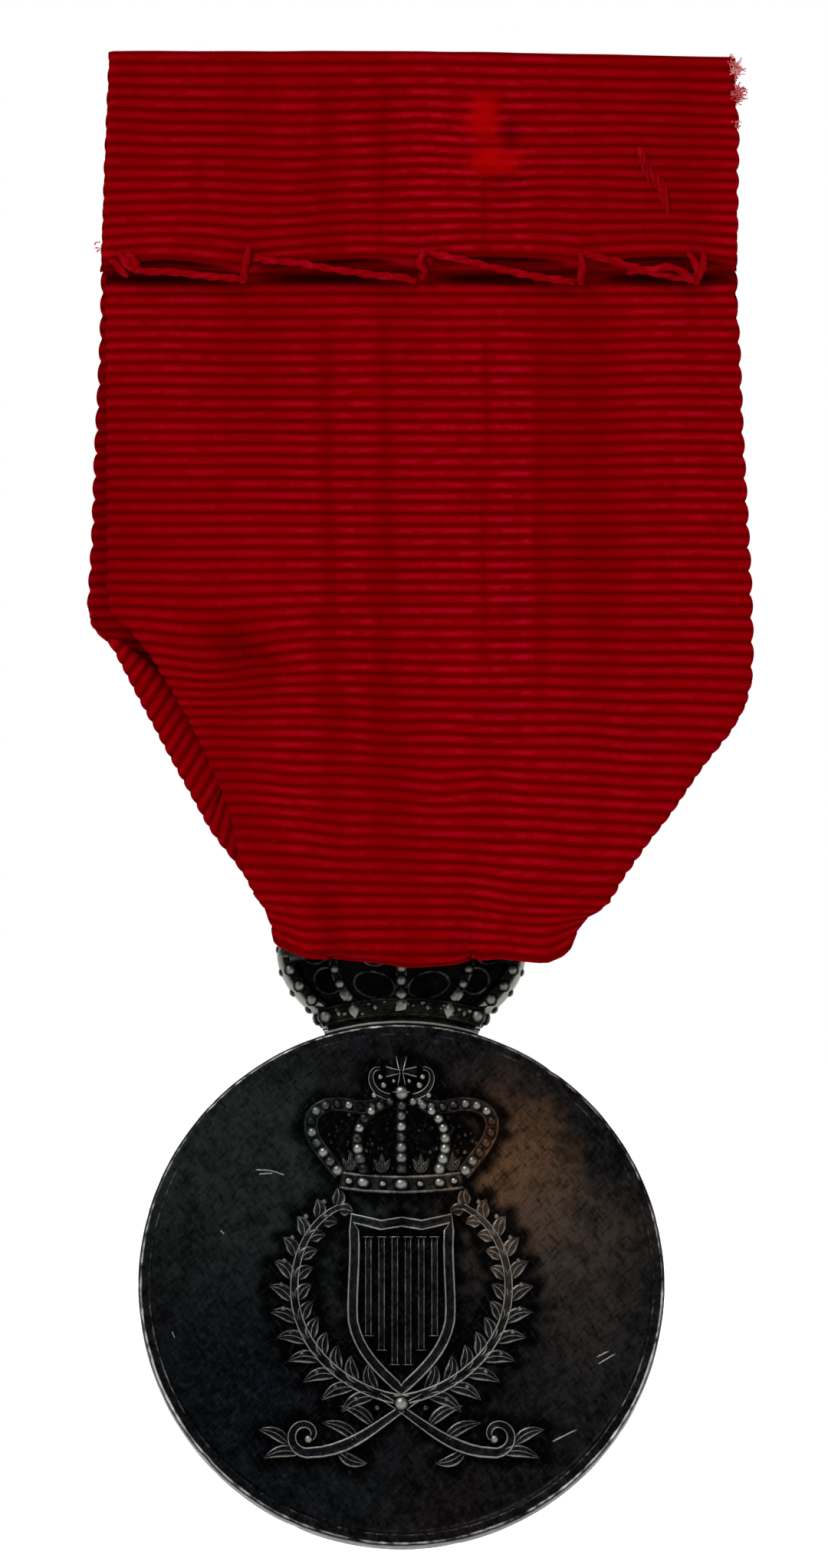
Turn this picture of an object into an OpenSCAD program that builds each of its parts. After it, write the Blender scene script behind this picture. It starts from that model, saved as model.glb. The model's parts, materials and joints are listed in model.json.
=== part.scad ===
// Hanging service medal: a struck silver disc under a cast crown, swinging on a bar
// that lies in the bottom fold of a doubled crimson ribbon. The reverse faces -Y.

/* [Ribbon] */
// Width of the ribbon at the top fold, mm
ribbon_w = 37.5; // [36:0.1:39]
// Thickness of the ribbon, mm
ribbon_t = 0.35; // [0.25:0.01:0.4]
// Height of the top fold above the pin line, mm
fold_top = 2; // [1.5:0.1:3]
// How far the flap hangs below the top fold at the back, mm
flap_drop = 13; // [11:0.1:15]
// Outer radius of the top fold, mm
top_fold_r = 0.85; // [0.8:0.01:1]
// Outer radius of the bottom fold, mm
bottom_fold_r = 1.5; // [1.45:0.01:1.55]
// Lowest point of the bottom fold, mm
fold_bottom = -51.6; // [-51.8:0.05:-51.5]
// Width of the ribbon where it passes round the bar, mm
neck_w = 10; // [9:0.1:10]
// Radius of the sewing thread, mm
thread_r = 0.17; // [0.12:0.01:0.2]

/* [Suspension] */
// Radius of the bar, mm
bar_r = 0.5; // [0.4:0.01:0.55]
// Gap between the bar and each lug's bore, mm
bar_gap = 0.05; // [0.02:0.01:0.09]
// Outer radius of a lug round the bar, mm
lug_r = 0.8; // [0.75:0.01:0.9]
// Width of one lug along the bar, mm
lug_w = 1; // [0.8:0.1:1.1]
// Distance from the medal's middle to a lug's inner face, mm
lug_in = 5.6; // [5.6:0.05:5.8]
// Angle at which the medal hangs, its foot towards the back, degrees
hang_angle = 8.5; // [7:0.5:9]

/* [Disc] */
// Diameter of the disc, mm
disc_d = 31; // [30:0.1:32]
// Thickness of the disc over its rims, mm
disc_t = 2.4; // [2:0.1:2.6]
// Width of the raised rim, mm
rim_w = 0.75; // [0.5:0.05:1]
// Height of the rim over the field, mm
rim_h = 0.25; // [0.15:0.05:0.4]
// Height of the emblems over the field, mm
relief_h = 0.2; // [0.1:0.05:0.25]

/* [Crown] */
// Width of the jewelled band, mm
band_w = 10.8; // [10:0.1:11.5]
// Height of the jewelled band, mm
band_h = 1.15; // [1:0.05:1.3]
// Height of the crown up to the joined arches, mm
arch_top = 7.7; // [7.2:0.1:8]
// Depth of the band, front to back, mm
band_depth = 2.2; // [2:0.1:2.3]
// Depth of the arches, front to back, mm
arch_depth = 1.9; // [1.7:0.1:2]
// Width of an outer arch, mm
arch_w = 1.1; // [0.9:0.05:1.3]

/* [Hidden] */

// The medal hangs a little off the ribbon's middle.
medal_x = -1.1;
medal_y = 2.85;
bar_float = 0.05;
bar_z = fold_bottom + ribbon_t + bar_float + bar_r;
crown_base = -4.4;
disc_r = disc_d / 2;
disc_z = crown_base - disc_r;
lug_out = lug_in + lug_w;
head_w = 0.35;
head_r = 0.7;
head_gap = 0.05;

// Heights of the two folds' middles, and the level of the flap's hem.
top_fold_z = fold_top - top_fold_r;
bottom_fold_z = fold_bottom + bottom_fold_r;
hem_z = fold_top - flap_drop;
tuck_top = hem_z + 7;
layer_gap = 0.03;
eps = 0.01;

// Outlines of the ribbon's two layers, seen from the front as x and z. The selvedges
// flare downwards, then the corners are folded in along slanting lines.
half_w = ribbon_w / 2;
back_left = [[-half_w, tuck_top], [-18.6, -18], [-18.4, -27.6], [-18.2, -31], [-16.9, -31.8],
             [-14.7, -35.1], [-12.3, -40.3], [-10.2, -46.3], [-9.1, -49.6], [-8.2, -50.8],
             [-6.8, -51.4]];
back_right = [[8, -51.5], [9.7, -50.3], [10.6, -49.2], [13.3, -44.6], [16.7, -39.6],
              [18.8, -36.9], [19.5, -34.6], [19.6, -31.4], [19.1, -24], [18.5, -14],
              [half_w, tuck_top]];
neck_left = medal_x - neck_w / 2;
neck_top = bottom_fold_z + 1.1;
neck_right = medal_x + neck_w / 2;
front_left = [[-half_w, top_fold_z], [-18.8, -10], [-19, -20], [-19.6, -30.3], [-19.2, -31.9],
              [-14.7, -39.4], [-11.1, -45.9], [-9.4, -48.3], [neck_left, neck_top],
              [neck_left, bottom_fold_z]];
front_right = [[neck_right, bottom_fold_z], [neck_right, neck_top], [9.4, -48.3], [12.9, -44.2],
               [18.4, -35.9],
               [19.2, -33.6], [19.1, -24], [18.5, -14], [half_w, top_fold_z]];
front_tuck_left = [[-19.2, -31.9], [-9.4, -48.5], [-4.7, -39.9]];
front_tuck_right = [[19, -34], [9.2, -48.9], [5.6, -40]];
back_tuck_left = [[-18.2, -31], [-14.7, -35.1], [-9.1, -49.6], [-4.5, -39.2]];
back_tuck_right = [[18.8, -36.9], [10.6, -49.2], [6.4, -42.6]];

// Points on a cubic curve through four control points.
function bend(p, t) = pow(1 - t, 3) * p[0] + 3 * pow(1 - t, 2) * t * p[1]
    + 3 * (1 - t) * t * t * p[2] + pow(t, 3) * p[3];
function curve(p, n) = [for (i = [0:n]) bend(p, i / n)];
// The left-hand normal at point i of a curve.
function along(c, i) = c[min(i + 1, len(c) - 1)] - c[max(i - 1, 0)];
function normal(c, i) = [-along(c, i)[1], along(c, i)[0]] / norm(along(c, i));
// The outline of a strip of width w centred on a curve.
function strip(c, w) = concat(
    [for (i = [0:len(c) - 1]) c[i] + normal(c, i) * w / 2],
    [for (i = [len(c) - 1:-1:0]) c[i] - normal(c, i) * w / 2]);

// Centre lines of the crown's arches on its right side, from the band up to the orb.
outer_arch = curve([[5.2, 1.2], [8.3, 3.2], [8.2, 7.6], [0, 7.3]], 16);
inner_arch = curve([[3.1, 1.2], [4.9, 3.4], [4.6, 6.8], [0, 7.2]], 12);
band_low = disc_r + 0.45;
orb_r = 0.85;
orb_z = arch_top + 0.55;
cross_z = orb_z + orb_r;
cross_h = 1.3;

// Draws a flat outline in x and z and gives it a depth along y.
module upright(y_low, y_high) {
    translate([0, y_high, 0]) rotate([90, 0, 0]) linear_extrude(y_high - y_low) children();
}

// Draws an outline in y and z and runs it across the ribbon from x0 to x1.
module across(x0, x1) {
    translate([x0, 0, 0]) rotate([90, 0, 90]) linear_extrude(x1 - x0) children();
}

// Places a piece of the medal, drawn with the bar's axis at its origin.
module hung() {
    translate([medal_x, 0, bar_z]) rotate([-hang_angle, 0, 0]) children();
}

// Places a piece of the crown, drawn from the middle of the crown's base.
module on_crown() {
    hung() translate([0, medal_y, crown_base]) children();
}

module both_sides() {
    children();
    mirror([1, 0, 0]) children();
}

module both_faces() {
    children();
    mirror([0, 1, 0]) children();
}

// Half of a ring: the section of a fold, its hollow side towards up or down.
module fold_section(outer_r, mid_z, up) {
    translate([0, mid_z]) intersection() {
        difference() {
            circle(r = outer_r, $fn = 64);
            circle(r = outer_r - ribbon_t, $fn = 64);
        }
        translate([-outer_r, up ? 0 : -outer_r]) square([2 * outer_r, outer_r]);
    }
}

// A layer whose outer face leans from y_top at z_top to y_low at z_low.
module layer_section(y_top, z_top, y_low, z_low, inward) {
    polygon([[y_top, z_top], [y_low, z_low], [y_low + inward, z_low], [y_top + inward, z_top]]);
}

module layer(outline, y_top, z_top, y_low, z_low, inward) {
    intersection() {
        across(-25, 25) layer_section(y_top, z_top, y_low, z_low, inward);
        upright(-4, 4) polygon(outline);
    }
}

module ribbon() {
    back_y = -top_fold_r + ribbon_t + layer_gap;
    color("crimson") {
        // The front layer hangs from the top fold to the bottom fold.
        layer(concat(front_left, front_right), top_fold_r, top_fold_z, bottom_fold_r,
              bottom_fold_z, -ribbon_t);
        // The back layer rises from the bottom fold and ends under the flap.
        layer(concat(back_left, back_right), back_y, tuck_top, -bottom_fold_r,
              bottom_fold_z - eps, ribbon_t);
        upright(-bottom_fold_r, -bottom_fold_r + ribbon_t) intersection() {
            polygon(concat(back_left, back_right));
            translate([-25, bottom_fold_z - 2]) square([50, 2]);
        }
        // The two folds and the flap.
        across(-half_w, half_w) fold_section(top_fold_r, top_fold_z, true);
        across(neck_left, neck_right) fold_section(bottom_fold_r, bottom_fold_z, false);
        translate([-half_w, -top_fold_r, hem_z]) cube([ribbon_w, ribbon_t, top_fold_z - hem_z]);
        // The corners folded in between the layers.
        for (tuck = [front_tuck_left, front_tuck_right])
            layer(tuck, top_fold_r - ribbon_t, top_fold_z, bottom_fold_r - ribbon_t,
                  bottom_fold_z, -ribbon_t);
        for (tuck = [back_tuck_left, back_tuck_right])
            layer(tuck, back_y + ribbon_t, tuck_top, -bottom_fold_r + ribbon_t,
                  bottom_fold_z, ribbon_t);
    }
}

// A straight length of thread between two points, swelling a little at each end.
module thread(a, b) {
    run = b - a;
    translate(a) rotate([0, acos(run[2] / norm(run)), atan2(run[1], run[0])])
        cylinder(r = thread_r, h = norm(run), $fn = 16);
    for (end = [a, b])
        translate(end) sphere(r = 1.2 * thread_r, $fn = 16);
}

module hem_stitches() {
    // The thread is drawn in until it lies flush with the flap's face.
    over = -top_fold_r + 1.2 * thread_r;
    under = -top_fold_r + ribbon_t + layer_gap + ribbon_t / 2;
    // Four long stitches slant down across the hem, each closed by a short upright one.
    stitches = [[-16.9, -10.4, -10.7, -11.3], [-9.6, -10.2, -0.9, -11.3],
                [0.6, -9.9, 8.6, -11.4], [9.9, -10, 15.9, -11.4]];
    loops = [[-10.2, -9.6], [0, -9.9], [9.3, -10], [16.6, -9.9]];
    color("red") {
        for (s = stitches)
            thread([s[0], over, s[1]], [s[2], over, s[3]]);
        for (s = loops) {
            thread([s[0], over, s[1]], [s[0], over, hem_z - 0.3]);
            thread([s[0], over, s[1]], [s[0], under, s[1]]);
        }
    }
}

module suspension_bar() {
    color("dimgray") hung() rotate([0, 90, 0]) {
        cylinder(r = bar_r, h = 2 * (lug_out + head_gap), center = true, $fn = 48);
        for (side = [-1, 1])
            translate([0, 0, side * (lug_out + head_gap + head_w / 2)])
                cylinder(r = head_r, h = head_w, center = true, $fn = 48);
    }
}

// A lug drawn on the medal's right: an eye round the bar on an arm from the crown's back.
module lug() {
    arm_end = medal_y - arch_depth / 2;
    translate([lug_in, 0, 0]) difference() {
        union() {
            rotate([0, 90, 0]) cylinder(r = lug_r, h = lug_w, $fn = 48);
            translate([0, 0, -lug_r]) cube([lug_w, arm_end, 2 * lug_r]);
        }
        translate([-eps, 0, 0]) rotate([0, 90, 0])
            cylinder(r = bar_r + bar_gap, h = lug_w + 2 * eps, $fn = 48);
    }
}

module left_lug() {
    color("dimgray") hung() mirror([1, 0, 0]) lug();
}

module right_lug() {
    color("dimgray") hung() lug();
}

// The disc's section from its middle outwards: field, raised rim and rounded edge.
module disc_section() {
    face = disc_t / 2;
    field = face - rim_h;
    edge_r = 0.35;
    square_r = disc_r - edge_r;
    union() {
        translate([0, -field]) square([disc_r - rim_w, 2 * field]);
        translate([disc_r - rim_w, -face]) square([rim_w - edge_r, disc_t]);
        translate([disc_r - rim_w, -face + edge_r]) square([rim_w, disc_t - 2 * edge_r]);
        for (side = [-1, 1])
            translate([square_r, side * (face - edge_r)]) circle(r = edge_r, $fn = 32);
    }
}

// One laurel leaf of length l, pointing up from the origin.
module leaf(l) {
    swell = l * 0.56;
    intersection() {
        translate([swell - l * 0.2, l / 2]) circle(r = swell, $fn = 32);
        translate([-swell + l * 0.2, l / 2]) circle(r = swell, $fn = 32);
    }
}

// Half of a laurel wreath of radius r: leaves in pairs along the stem.
module laurel(r, count, l) {
    for (i = [0:count - 1]) {
        a = -72 + i * 124 / (count - 1);
        for (side = [-1, 1])
            rotate(a) translate([r + side * l * 0.28, 0]) rotate(-side * 24) leaf(l);
    }
}

module star(r) {
    polygon([for (i = [0:9]) (i % 2 == 0 ? r : r * 0.42) * [sin(i * 36), cos(i * 36)]]);
}

// A plain shield of width w, its point down.
module shield(w) {
    intersection() {
        translate([-w / 2, 0]) circle(r = w, $fn = 64);
        translate([w / 2, 0]) circle(r = w, $fn = 64);
        translate([-w, -w]) square([2 * w, 1.35 * w]);
    }
}

// The outline of the crown's right half over its band.
module crown_outline() {
    rise = outer_arch;
    edge = [for (i = [0:len(rise) - 1]) rise[i] - normal(rise, i) * arch_w / 2];
    polygon(concat([[0, 1]], edge, [[0, arch_top - 0.3]]));
}

// The same crown, simplified, as the emblem on the reverse.
module crown_emblem() {
    translate([-5, -0.3]) square([10, 1.3]);
    both_sides() crown_outline();
    translate([0, orb_z]) circle(r = orb_r, $fn = 32);
    translate([-0.25, orb_z]) square([0.5, 2]);
    translate([-0.7, cross_z + 0.3]) square([1.4, 0.5]);
}

module medal_disc() {
    field = disc_t / 2 - rim_h;
    color([0.16, 0.16, 0.17]) hung() translate([0, medal_y, disc_z]) {
        rotate([90, 0, 0]) rotate_extrude($fn = 180) disc_section();
        // The reverse: a crown over a plain shield in an open wreath.
        upright(-field - relief_h, -field + eps) {
            translate([0, 5.3]) scale(0.68) crown_emblem();
            translate([0, -1.2]) shield(5);
            both_sides() translate([0, -2.8]) laurel(6, 7, 2.5);
        }
        // The obverse: a star in a closed wreath.
        upright(field - eps, field + relief_h) {
            star(5);
            both_sides() laurel(11.4, 11, 2.9);
        }
    }
}

// A part of a ring concentric with the disc, drawn from the crown's base.
module saddle(r_low, r_high, half_width) {
    translate([0, -disc_r]) intersection() {
        difference() {
            circle(r = r_high, $fn = 180);
            circle(r = r_low, $fn = 180);
        }
        translate([-half_width, 0]) square([2 * half_width, r_high]);
    }
}

module crown_foot() {
    color("dimgray") on_crown() upright(-arch_depth / 2, arch_depth / 2)
        saddle(disc_r, band_low, band_w / 2 - 0.3);
}

module crown_band() {
    bead_h = 0.22;
    gem_angles = [-18, -11, 0, 11, 18];
    color("dimgray") on_crown() {
        upright(-band_depth / 2 + 0.2, band_depth / 2 - 0.2)
            saddle(band_low, band_low + band_h, band_w / 2);
        for (r = [band_low, band_low + band_h - bead_h])
            upright(-band_depth / 2, band_depth / 2) saddle(r, r + bead_h, band_w / 2);
        // Cabochons and lozenges in turn on both faces.
        both_faces() for (i = [0:4])
            translate([0, 0, -disc_r]) rotate([0, gem_angles[i], 0])
                translate([0, band_depth / 2 - 0.35, band_low + band_h / 2]) rotate([-90, 0, 0])
                    cylinder(r = 0.42, h = 0.4, $fn = i % 2 == 0 ? 32 : 4);
    }
}

module arches_2d() {
    both_sides() {
        polygon(strip(outer_arch, arch_w));
        polygon(strip(inner_arch, 0.7));
    }
    translate([-0.4, 1]) square([0.8, arch_top - 1.2]);
}

module above_band() {
    difference() {
        children();
        saddle(disc_r - 2, band_low + band_h, 9);
    }
}

module crown_arches() {
    color("dimgray") on_crown() {
        upright(-arch_depth / 2, arch_depth / 2) above_band() arches_2d();
        // Pearls along the arches, on both faces.
        both_faces() translate([0, arch_depth / 2, 0]) {
            for (i = [3:3:14])
                both_sides() translate([outer_arch[i][0], 0, outer_arch[i][1]])
                    sphere(r = 0.36, $fn = 24);
            for (i = [3:3:9])
                both_sides() translate([inner_arch[i][0], 0, inner_arch[i][1]])
                    sphere(r = 0.3, $fn = 24);
            for (z = [2.6:1.1:6])
                translate([0, 0, z]) sphere(r = 0.34, $fn = 24);
        }
    }
}

module crown_cap() {
    cap_depth = arch_depth - 0.7;
    color([0.12, 0.12, 0.12]) on_crown() upright(-cap_depth / 2, cap_depth / 2) difference() {
        above_band() both_sides() crown_outline();
        arches_2d();
    }
}

module crown_orb() {
    color("dimgray") on_crown() difference() {
        translate([0, 0, orb_z]) sphere(r = orb_r, $fn = 48);
        upright(-arch_depth, arch_depth) arches_2d();
    }
}

module crown_cross() {
    arm = 0.5;
    color("dimgray") on_crown() difference() {
        translate([-arm / 2, -arm / 2, cross_z - 0.2]) {
            cube([arm, arm, cross_h + 0.2]);
            translate([-0.45, 0, 0.65]) cube([arm + 0.9, arm, arm]);
        }
        translate([0, 0, orb_z]) sphere(r = orb_r, $fn = 48);
    }
}

ribbon();
hem_stitches();
suspension_bar();
medal_disc();
crown_foot();
crown_band();
crown_cap();
crown_arches();
crown_orb();
crown_cross();
left_lug();
right_lug();
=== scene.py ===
"""A hanging service medal: ribbed crimson ribbon, hand-sewn hem, tarnished silver disc and crown."""

import json
import math

import bmesh
import bpy
import mathutils
import numpy as np
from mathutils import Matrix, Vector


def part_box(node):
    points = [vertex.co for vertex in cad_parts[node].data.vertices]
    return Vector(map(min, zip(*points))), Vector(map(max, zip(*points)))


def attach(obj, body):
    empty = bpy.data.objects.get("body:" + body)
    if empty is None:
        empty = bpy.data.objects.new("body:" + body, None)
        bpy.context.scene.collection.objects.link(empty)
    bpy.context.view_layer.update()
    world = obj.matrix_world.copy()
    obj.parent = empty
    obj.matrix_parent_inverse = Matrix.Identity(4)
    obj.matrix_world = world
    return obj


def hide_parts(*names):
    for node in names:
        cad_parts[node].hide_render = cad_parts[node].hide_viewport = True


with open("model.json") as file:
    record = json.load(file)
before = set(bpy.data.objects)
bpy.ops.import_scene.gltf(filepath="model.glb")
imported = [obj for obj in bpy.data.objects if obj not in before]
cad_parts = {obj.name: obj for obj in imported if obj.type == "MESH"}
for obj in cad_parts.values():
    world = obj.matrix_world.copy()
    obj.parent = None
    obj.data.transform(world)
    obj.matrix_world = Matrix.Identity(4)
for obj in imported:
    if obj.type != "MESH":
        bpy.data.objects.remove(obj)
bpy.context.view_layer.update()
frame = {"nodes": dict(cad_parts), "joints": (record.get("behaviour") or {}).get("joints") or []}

MM = 0.001
RNG = np.random.default_rng(7)


# ---------------------------------------------------------------- the frame's places, in mm

def node_box(name):
    low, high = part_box(name)
    return np.array(low) / MM, np.array(high) / MM


JOINT = {j["name"]: j for j in frame["joints"]}
PIVOT = np.array(JOINT["medal_swing"]["pos_m"]) / MM
RIBBON_LOW, RIBBON_HIGH = node_box("ribbon")
DISC_LOW, DISC_HIGH = node_box("medal_disc")

# The medal is drawn upright with the bar's axis at its origin, then hung at this angle.
HANG = math.radians(8.5)
# Its middle plane is this far in front of the bar; its crown stands on the disc's top.
MEDAL_Y = 2.85
CROWN_Z = -4.4
DISC_R = (DISC_HIGH[0] - DISC_LOW[0]) / 2
DISC_Z = CROWN_Z - DISC_R
# The disc over its rims, its rim's width and height, and how far a face's field is from the middle.
DISC_T = 2.4
RIM_W = 0.75
RIM_H = 0.25
FIELD = DISC_T / 2 - RIM_H


def hung(points):
    """Points drawn from the bar's axis, turned to the angle at which the medal hangs."""
    p = np.asarray(points, float)
    c, s = math.cos(HANG), math.sin(HANG)
    return PIVOT + np.stack([p[..., 0], p[..., 1] * c + p[..., 2] * s, p[..., 2] * c - p[..., 1] * s], -1)


def on_disc(points):
    """From the disc's own middle to the row frame."""
    return hung(np.asarray(points, float) + [0, MEDAL_Y, DISC_Z])


def on_reverse(points):
    """From the reverse's own x, height above the field and z to the row frame."""
    return on_disc(points * [1, -1, 1] - [0, FIELD, 0])


def on_obverse(points):
    return on_disc(points + [0, FIELD, 0])


def on_crown(points):
    """From the crown's own x, y from its middle plane and z above its foot, to the row frame."""
    return hung(points + [0, MEDAL_Y, CROWN_Z])


def as_drawn(points):
    """The ribbon and its threads are drawn in the row frame itself."""
    return points


# ---------------------------------------------------------------- small mathematics

def smooth(t):
    t = np.clip(t, 0, 1)
    return t * t * (3 - 2 * t)


def ramp(x, low, high):
    """0 below low, 1 above high, smooth between."""
    return smooth((np.asarray(x, float) - low) / (high - low))


def bump(x, centre, width):
    """1 at centre, falling off in a bell curve."""
    return np.exp(-(((np.asarray(x, float) - centre) / width) ** 2))


def spot(x, z, centre, widths):
    """A bump in two directions."""
    return bump(x, centre[0], widths[0]) * bump(z, centre[1], widths[1])


def through(knots, x):
    """A smooth curve through (x, value) knots, which run upwards in x."""
    k = np.array(knots, float)
    slope = np.gradient(k[:, 1], k[:, 0])
    x = np.clip(x, k[0, 0], k[-1, 0])
    i = np.clip(np.searchsorted(k[:, 0], x) - 1, 0, len(k) - 2)
    h = k[i + 1, 0] - k[i, 0]
    t = (x - k[i, 0]) / h
    t2, t3 = t * t, t * t * t
    return ((2 * t3 - 3 * t2 + 1) * k[i, 1] + (t3 - 2 * t2 + t) * h * slope[i]
            + (3 * t2 - 2 * t3) * k[i + 1, 1] + (t3 - t2) * h * slope[i + 1])


NOISE = RNG.random((64, 64))


def noise(x, y, seed=0):
    """Smooth noise from -1 to 1 with features about one unit across."""
    x, y = np.broadcast_arrays(np.asarray(x, float) + 13.7 * seed, np.asarray(y, float) + 7.3 * seed)
    i, j = np.floor(x).astype(int), np.floor(y).astype(int)
    u, v = smooth(x - i), smooth(y - j)
    i, j = i % 64, j % 64
    k, m = (i + 1) % 64, (j + 1) % 64
    low = NOISE[i, j] * (1 - u) + NOISE[k, j] * u
    high = NOISE[i, m] * (1 - u) + NOISE[k, m] * u
    return 2 * (low * (1 - v) + high * v) - 1


def unit(v):
    v = np.asarray(v, float)
    return v / np.maximum(np.linalg.norm(v, axis=-1, keepdims=True), 1e-12)


def lengths_along(points):
    """How far along a polyline each of its points is."""
    return np.concatenate([[0], np.cumsum(np.linalg.norm(np.diff(points, axis=0), axis=1))])


def points_at(points, lengths):
    """Points at these lengths along a polyline."""
    along = lengths_along(points)
    return np.stack([np.interp(lengths, along, line) for line in points.T], -1)


def resample(points, step):
    """The polyline cut into equal steps of about this size."""
    points = np.asarray(points, float)
    total = lengths_along(points)[-1]
    return points_at(points, np.linspace(0, total, max(2, int(round(total / step)) + 1)))


def along_path(path, step, start=0.0):
    """Points spaced evenly along a path, from start mm on."""
    path = np.asarray(path, float)
    return points_at(path, np.arange(start, lengths_along(path)[-1] + 1e-6, step))


def bezier(points, count=24):
    """A cubic curve through four control points, or a chain of them sharing ends."""
    p = np.asarray(points, float)
    out = []
    for i in range(0, len(p) - 1, 3):
        t = np.linspace(0, 1, count)[:, None]
        a, b, c, d = p[i : i + 4]
        out.append((1 - t) ** 3 * a + 3 * (1 - t) ** 2 * t * b + 3 * (1 - t) * t * t * c + t**3 * d)
    return np.concatenate([out[0]] + [o[1:] for o in out[1:]])


def arc(centre, radius, start, end, count):
    """Points on a flat arc; angles in degrees, anticlockwise from +x."""
    a = np.radians(np.linspace(start, end, count))
    return np.stack([centre[0] + radius * np.cos(a), centre[1] + radius * np.sin(a)], -1)


def circle(centre, radius, count):
    return arc(centre, radius, 0, 360, count + 1)[:-1]


def turned(points, angle):
    """Flat points turned about the origin by an angle in radians."""
    c, s = math.cos(angle), math.sin(angle)
    return np.asarray(points, float) @ np.array([[c, s], [-s, c]])


# ---------------------------------------------------------------- building meshes

class Pile:
    """Vertices, faces and a value of wear at each vertex, gathered from many shapes."""

    def __init__(self):
        self.points, self.faces, self.worn, self.count = [], [], [], 0

    def add(self, points, faces, worn):
        points = np.asarray(points, float).reshape(-1, 3)
        self.points.append(points)
        self.faces += [tuple(int(i) + self.count for i in f) for f in faces]
        self.worn.append(np.broadcast_to(np.asarray(worn, float).ravel(), len(points)))
        self.count += len(points)

    def grid(self, points, worn=0, close_u=False, close_v=False, flip=False, capped=False):
        """A sheet of quads over points[rows, columns]; capped closes its first and last rows."""
        points = np.asarray(points, float)
        rows, cols = points.shape[:2]
        faces = grid_faces(rows, cols, close_u, close_v, flip)
        if capped:
            first, last = list(range(cols)), list(range((rows - 1) * cols, rows * cols))
            faces = [*faces, first, last[::-1]] if flip else [*faces, first[::-1], last]
        self.add(points, faces, worn)

    def build(self, name, place, body, slot, material, replaces=(), **values):
        """The piece itself, in metres, put in the row frame by place."""
        points = place(np.concatenate(self.points)) * MM
        piece = new_mesh(name, points, self.faces, {"worn": np.concatenate(self.worn), **values})
        face_outwards(piece)
        return finish_piece(piece, body, material, replaces)


def grid_faces(rows, cols, close_u=False, close_v=False, flip=False):
    """Quads over a grid; close_u joins the last row to the first, close_v the last column."""
    r = np.arange(rows if close_u else rows - 1)[:, None]
    c = np.arange(cols if close_v else cols - 1)[None, :]
    r2, c2 = (r + 1) % rows, (c + 1) % cols
    quads = np.stack([r * cols + c, r * cols + c2, r2 * cols + c2, r2 * cols + c], -1).reshape(-1, 4)
    return quads[:, ::-1] if flip else quads


def new_mesh(name, points, faces, values):
    """A smooth-shaded mesh object with one number per vertex for each named value."""
    mesh = bpy.data.meshes.new(name)
    mesh.from_pydata([tuple(p) for p in points], [], [tuple(int(i) for i in f) for f in faces])
    for key, value in values.items():
        mesh.attributes.new(key, "FLOAT", "POINT").data.foreach_set(
            "value", np.asarray(value, np.float32).ravel())
    mesh.shade_smooth()
    mesh.update()
    piece = bpy.data.objects.new(name, mesh)
    bpy.context.scene.collection.objects.link(piece)
    return piece


def face_outwards(piece):
    shape = bmesh.new()
    shape.from_mesh(piece.data)
    bmesh.ops.recalc_face_normals(shape, faces=shape.faces)
    shape.to_mesh(piece.data)
    shape.free()


def finish_piece(piece, body, material, replaces=()):
    piece.data.materials.append(material)
    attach(piece, body)
    if replaces:
        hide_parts(*replaces)
    return piece


def side_frames(path, up):
    """Two directions across a path at each point: sideways, and up as nearly as it can be."""
    along = unit(np.gradient(path, axis=0))
    side = unit(np.cross(along, np.broadcast_to(up, path.shape)))
    return side, np.cross(side, along)


def tube(pile, path, radius, sides=8, up=(0, 1, 0), flat=1.0, worn=None, closed=False):
    """A tube along a path. flat squeezes it along up; worn is its wear, by height if not given."""
    path = np.asarray(path, float)
    if closed:
        wrapped = np.concatenate([path[-1:], path, path[:1]])
        side, top = (f[1:-1] for f in side_frames(wrapped, up))
    else:
        side, top = side_frames(path, up)
    radius = np.broadcast_to(radius, len(path))[:, None, None]
    a = np.arange(sides) * 2 * math.pi / sides
    ring = (side[:, None] * np.cos(a)[None, :, None] + flat * top[:, None] * np.sin(a)[None, :, None])
    wear = np.tile(np.clip(np.sin(a), 0, 1) ** 2, (len(path), 1)) if worn is None else worn
    pile.grid(path[:, None] + radius * ring, wear, closed, True, True, not closed)


def ball(pile, centre, radius, rings=6, sides=10, squash=(1, 1, 1), worn=None, up=(0, 1, 0)):
    """A sphere, or a pebble if squashed; its wear grows towards up."""
    t = np.linspace(0, math.pi, rings + 1)[1:-1]
    a = np.arange(sides) * 2 * math.pi / sides
    shell = np.stack([np.sin(t)[:, None] * np.cos(a), np.sin(t)[:, None] * np.sin(a),
                      np.cos(t)[:, None] + 0 * a], -1)
    points = np.concatenate([[[0, 0, 1]], shell.reshape(-1, 3), [[0, 0, -1]]])
    top = np.clip(points @ np.array(up, float), 0, 1) ** 1.5 if worn is None else worn
    faces = [tuple(1 + i for i in f) for f in grid_faces(rings - 1, sides, False, True, True)]
    last = len(points) - 1
    for i in range(sides):
        j = (i + 1) % sides
        faces += [(0, 1 + j, 1 + i), (last, last - sides + i, last - sides + j)]
    pile.add(points * radius * np.array(squash) + np.array(centre), faces, top)


# ---------------------------------------------------------------- materials

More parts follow.
